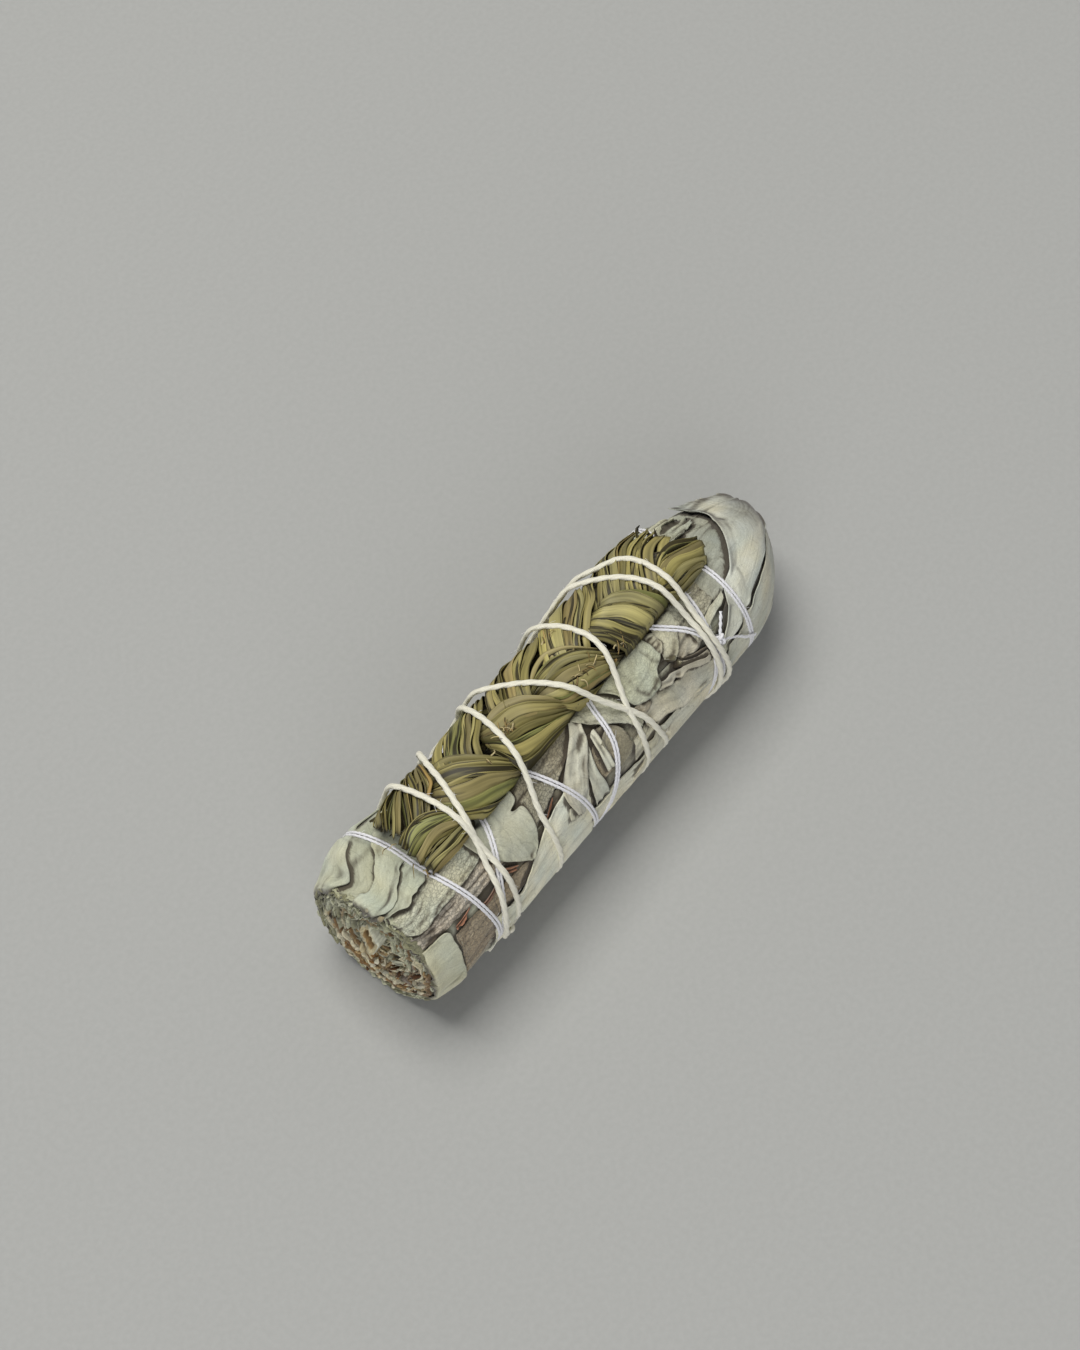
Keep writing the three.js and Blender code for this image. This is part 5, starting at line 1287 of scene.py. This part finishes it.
def leafEdge(rng, ring, angle, sweep):
    # A leaf seen edge on: a strip along an arc round the middle, ruffled in and out, its front margin torn
    # and crimped, its back sunk in the roll.
    share = (ring + 0.5) / cutEdges["rings"]
    base = cutEdges["firstRadius"] + (cutEdges["lastRadius"] - cutEdges["firstRadius"]) * share
    length = np.radians(sweep) * base
    columns = 2 * max(4, int(length / cutEdges["step"] / 2)) + 1
    s = np.linspace(0, 1, columns)[None]
    depth = np.linspace(0, 1, 9)[:, None] ** 1.4
    along = s * length
    ruffle = ripples(rng, 14, 1.0, 3.4)
    wide = ripples(rng, 5, 4.0, 14.0)
    turn = np.radians(angle + sweep * (s - 0.5))
    squeeze = sageRadius(np.float64(-56.0), np.degrees(turn)) / bunch["radius"]
    radius = base * squeeze + (0.55 * ruffle(along, 3 * depth) * (1 - 0.6 * depth) + 0.4 * wide(along, depth))
    front = bunch["cutX"] - 0.75 - 0.35 * (share < 0.85) + 1.7 * (1 - share) + rng.uniform(-0.4, 0.4)
    x = front + jagged(rng, along, 0.9, 0.6) * (1 - depth) + 0.3 * ruffle(along, 0 * along) + 6.5 * depth
    deep = smooth((depth - 0.1) / 0.25)
    radius = np.minimum(radius, sageRadius(np.float64(-56.0), np.degrees(turn)) - 0.1 - 0.5 * deep)
    y, z = radius * np.sin(turn), radius * np.cos(turn)
    y, z = roundStems(y, z, 0.2)
    z = np.maximum(z, 0.3 - bunch["axisHeight"])
    inward = cutEdges["thickness"] / np.maximum(1.0, radius)
    outer = np.stack(np.broadcast_arrays(x, y, bunch["axisHeight"] + z), -1)
    inner = np.stack(np.broadcast_arrays(x, y * (1 - inward), bunch["axisHeight"] + z * (1 - inward)), -1)
    shape = outer.shape[:2]
    dryness = (0.1 + 0.7 * smooth((0.35 - np.cos(np.radians(angle))) / 0.9)) * (share < 0.88)
    tints = cutEdges["dry" if rng.random() < dryness else "leafy"]
    tint = linear(tints[rng.integers(len(tints))]) * rng.uniform(0.75, 1.1)
    # painted shade: darker the deeper the strip lies in the roll, less so in the outermost rings
    wearAndShade = 0.8 * smooth((depth - 0.22) / 0.4) * (1 - 0.6 * smooth((share - 0.9) / 0.05))
    uv = np.stack(np.broadcast_arrays(along, 6.5 * depth), -1)
    return closedSheet(outer, inner[::2, ::2], uv, np.broadcast_to(tint, shape + (4,)),
                       np.broadcast_to(wearAndShade, shape), np.full(shape, 0.6))


def cutFace():
    rng = np.random.default_rng(cutEdges["seed"])
    parts = []
    for ring in range(cutEdges["rings"]):
        share = (ring + 0.5) / cutEdges["rings"]
        count = 3 + int(5 * share)
        first = rng.uniform(0, 360)
        for k in range(count):
            parts.append(leafEdge(rng, ring, first + 360 * k / count, 360 / count * rng.uniform(0.8, 1.25)))
    return parts


chips = {"count": 105, "seed": 33, "middle": -168, "spread": 34, "size": (0.35, 1.0), "lengths": (0.9, 2.8),
         "tints": ["#cdb184", "#9c7648", "#efe6c8", "#7d5a3c", "#c2a577", "#ece6cc", "#5e4029", "#e2d4ac"]}
crumbs = {"count": 24, "seed": 34, "middle": -60, "spread": 95, "size": (0.35, 0.9), "lengths": (0.8, 1.9),
          "tints": ["#b9b79f", "#c9c8b3", "#a39d86", "#b3a888", "#8b8065"]}


def splinters(form):
    # bits among the cut edges: short flattened slivers, bent and twisted, thick in the middle
    rng = np.random.default_rng(form["seed"])
    parts = []
    ring = ringOf(5, 0.35)
    for _ in range(form["count"]):
        angle = np.radians(rng.normal(form["middle"], form["spread"]))
        radius = 12.8 * np.sqrt(rng.uniform(0.2, 1.0))
        fromStalk = np.hypot(radius * np.sin(angle) - stems[0][0], radius * np.cos(angle) - stems[0][1])
        radius = radius * (1 + 0.6 * max(0, 3.6 - fromStalk))  # none over the hollow stalk
        size, length = rng.uniform(*form["size"]), rng.uniform(*form["lengths"])
        s = np.linspace(0, 1, 5)
        lean = rng.uniform(-0.8, 0.8, 2)
        x = bunch["cutX"] - 0.9 + rng.uniform(0, 1.5) + length * s * rng.uniform(0.4, 1)
        y = radius * np.sin(angle) + lean[0] * (s * length + 0.3 * np.sin(3 * s))
        z = bunch["axisHeight"] + radius * np.cos(angle) + lean[1] * s * length
        width = size * (1 - 0.7 * np.abs(2 * s - 0.7)) * rng.uniform(0.7, 1.3, 5)
        out = [rng.uniform(-0.6, 0.6), np.sin(angle) + 0.5 * lean[0], np.cos(angle) + 0.5 * lean[1]]
        if radius > 13.2:
            continue
        rings = carry(np.stack([x, y, z], 1), np.broadcast_to(out, (5, 3)), width[:, None, None] * ring)
        rings[..., 2] = np.maximum(rings[..., 2], 0.2 + 0.1 * ring[:, 0])  # none below the floor
        tint = linear(form["tints"][rng.integers(len(form["tints"]))])
        parts.append(closedTube(rings, tint, rng.uniform(0, 0.3)))
    return parts


crumbParts = splinters(crumbs)
for part in crumbParts:
    part["net"] = np.full(len(part["wearAndShade"]), 0.3)
triangles += addPiece("cutLeafEdges", cutFace() + crumbParts, finish["leaf"], ["sage_leaves"])
triangles += addPiece("cutWoodChips", splinters(chips), finish["wood"], [])
print(f"the object has {triangles} triangles beside its core")


# ---- floor, light and camera
def stage():
    # a plain pale floor, large enough to fill the view
    mesh = bpy.data.meshes.new("paleFloor")
    size = 3.0
    corners = [(-size, -size, 0), (size, -size, 0), (size, size, 0), (-size, size, 0)]
    mesh.from_pydata(corners, [], [(0, 1, 2, 3)])
    floor = bpy.data.objects.new("paleFloor", mesh)
    bpy.context.scene.collection.objects.link(floor)
    # Matt painted board: even pale grey, barely mottled
    material, shader = newMaterial("mattPaintedBoard", 0.85, specular=0.2)
    onObject = addNode(material, "TexCoord").outputs["Object"]
    grain = addNode(material, "TexNoise", {"Scale": 900.0, "Detail": 2.0}, {"Vector": onObject})
    tone = setRamp(addNode(material, "ValToRGB", links={"Fac": grain}), [(0.3, "#abacaa"), (0.7, "#afb0ae")])
    material.node_tree.links.new(tone.outputs["Color"], shader.inputs["Base Color"])
    mesh.materials.append(material)


lights = {  # place in metres, size, watts, colour: a broad light, high and to the far side, and a weak card
    "softKey": ((0.05, 0.66, 1.85), 1.2, 31.2, "#fffdf8"),
    "paleCard": ((-1.2, -0.85, 0.52), 1.3, 11.6, "#fdfdff"),
}
room = {"colour": "#fbfcff", "strength": 0.205}


def light():
    for name, (at, size, watts, colour) in lights.items():
        data = bpy.data.lights.new(name, "AREA")
        data.size, data.energy, data.color = size, watts, linear(colour)[:3]
        lamp = bpy.data.objects.new(name, data)
        lamp.location = at
        lamp.rotation_euler = (-Vector(at)).to_track_quat("-Z", "Y").to_euler()
        bpy.context.scene.collection.objects.link(lamp)
    world = bpy.data.worlds.new("evenRoom")
    bpy.context.scene.world = world
    world.use_nodes = True
    background = world.node_tree.nodes["Background"]
    background.inputs["Color"].default_value = linear(room["colour"])
    background.inputs["Strength"].default_value = room["strength"]


view = {"at": (-0.23887, -0.17553, 0.52490), "towards": (0.40926, 0.31268, -0.85717), "lens": 85,
        "sensor": 36, "nearest": 0.01}


def camera():
    data = bpy.data.cameras.new("camera")
    data.lens, data.sensor_width, data.clip_start = view["lens"], view["sensor"], view["nearest"]
    eye = bpy.data.objects.new("camera", data)
    eye.location = view["at"]
    eye.rotation_euler = Vector(view["towards"]).to_track_quat("-Z", "Y").to_euler()
    bpy.context.scene.collection.objects.link(eye)
    bpy.context.scene.camera = eye


stage()
light()
camera()
bpy.context.scene.view_settings.view_transform = "Standard"
print("the stage is set")
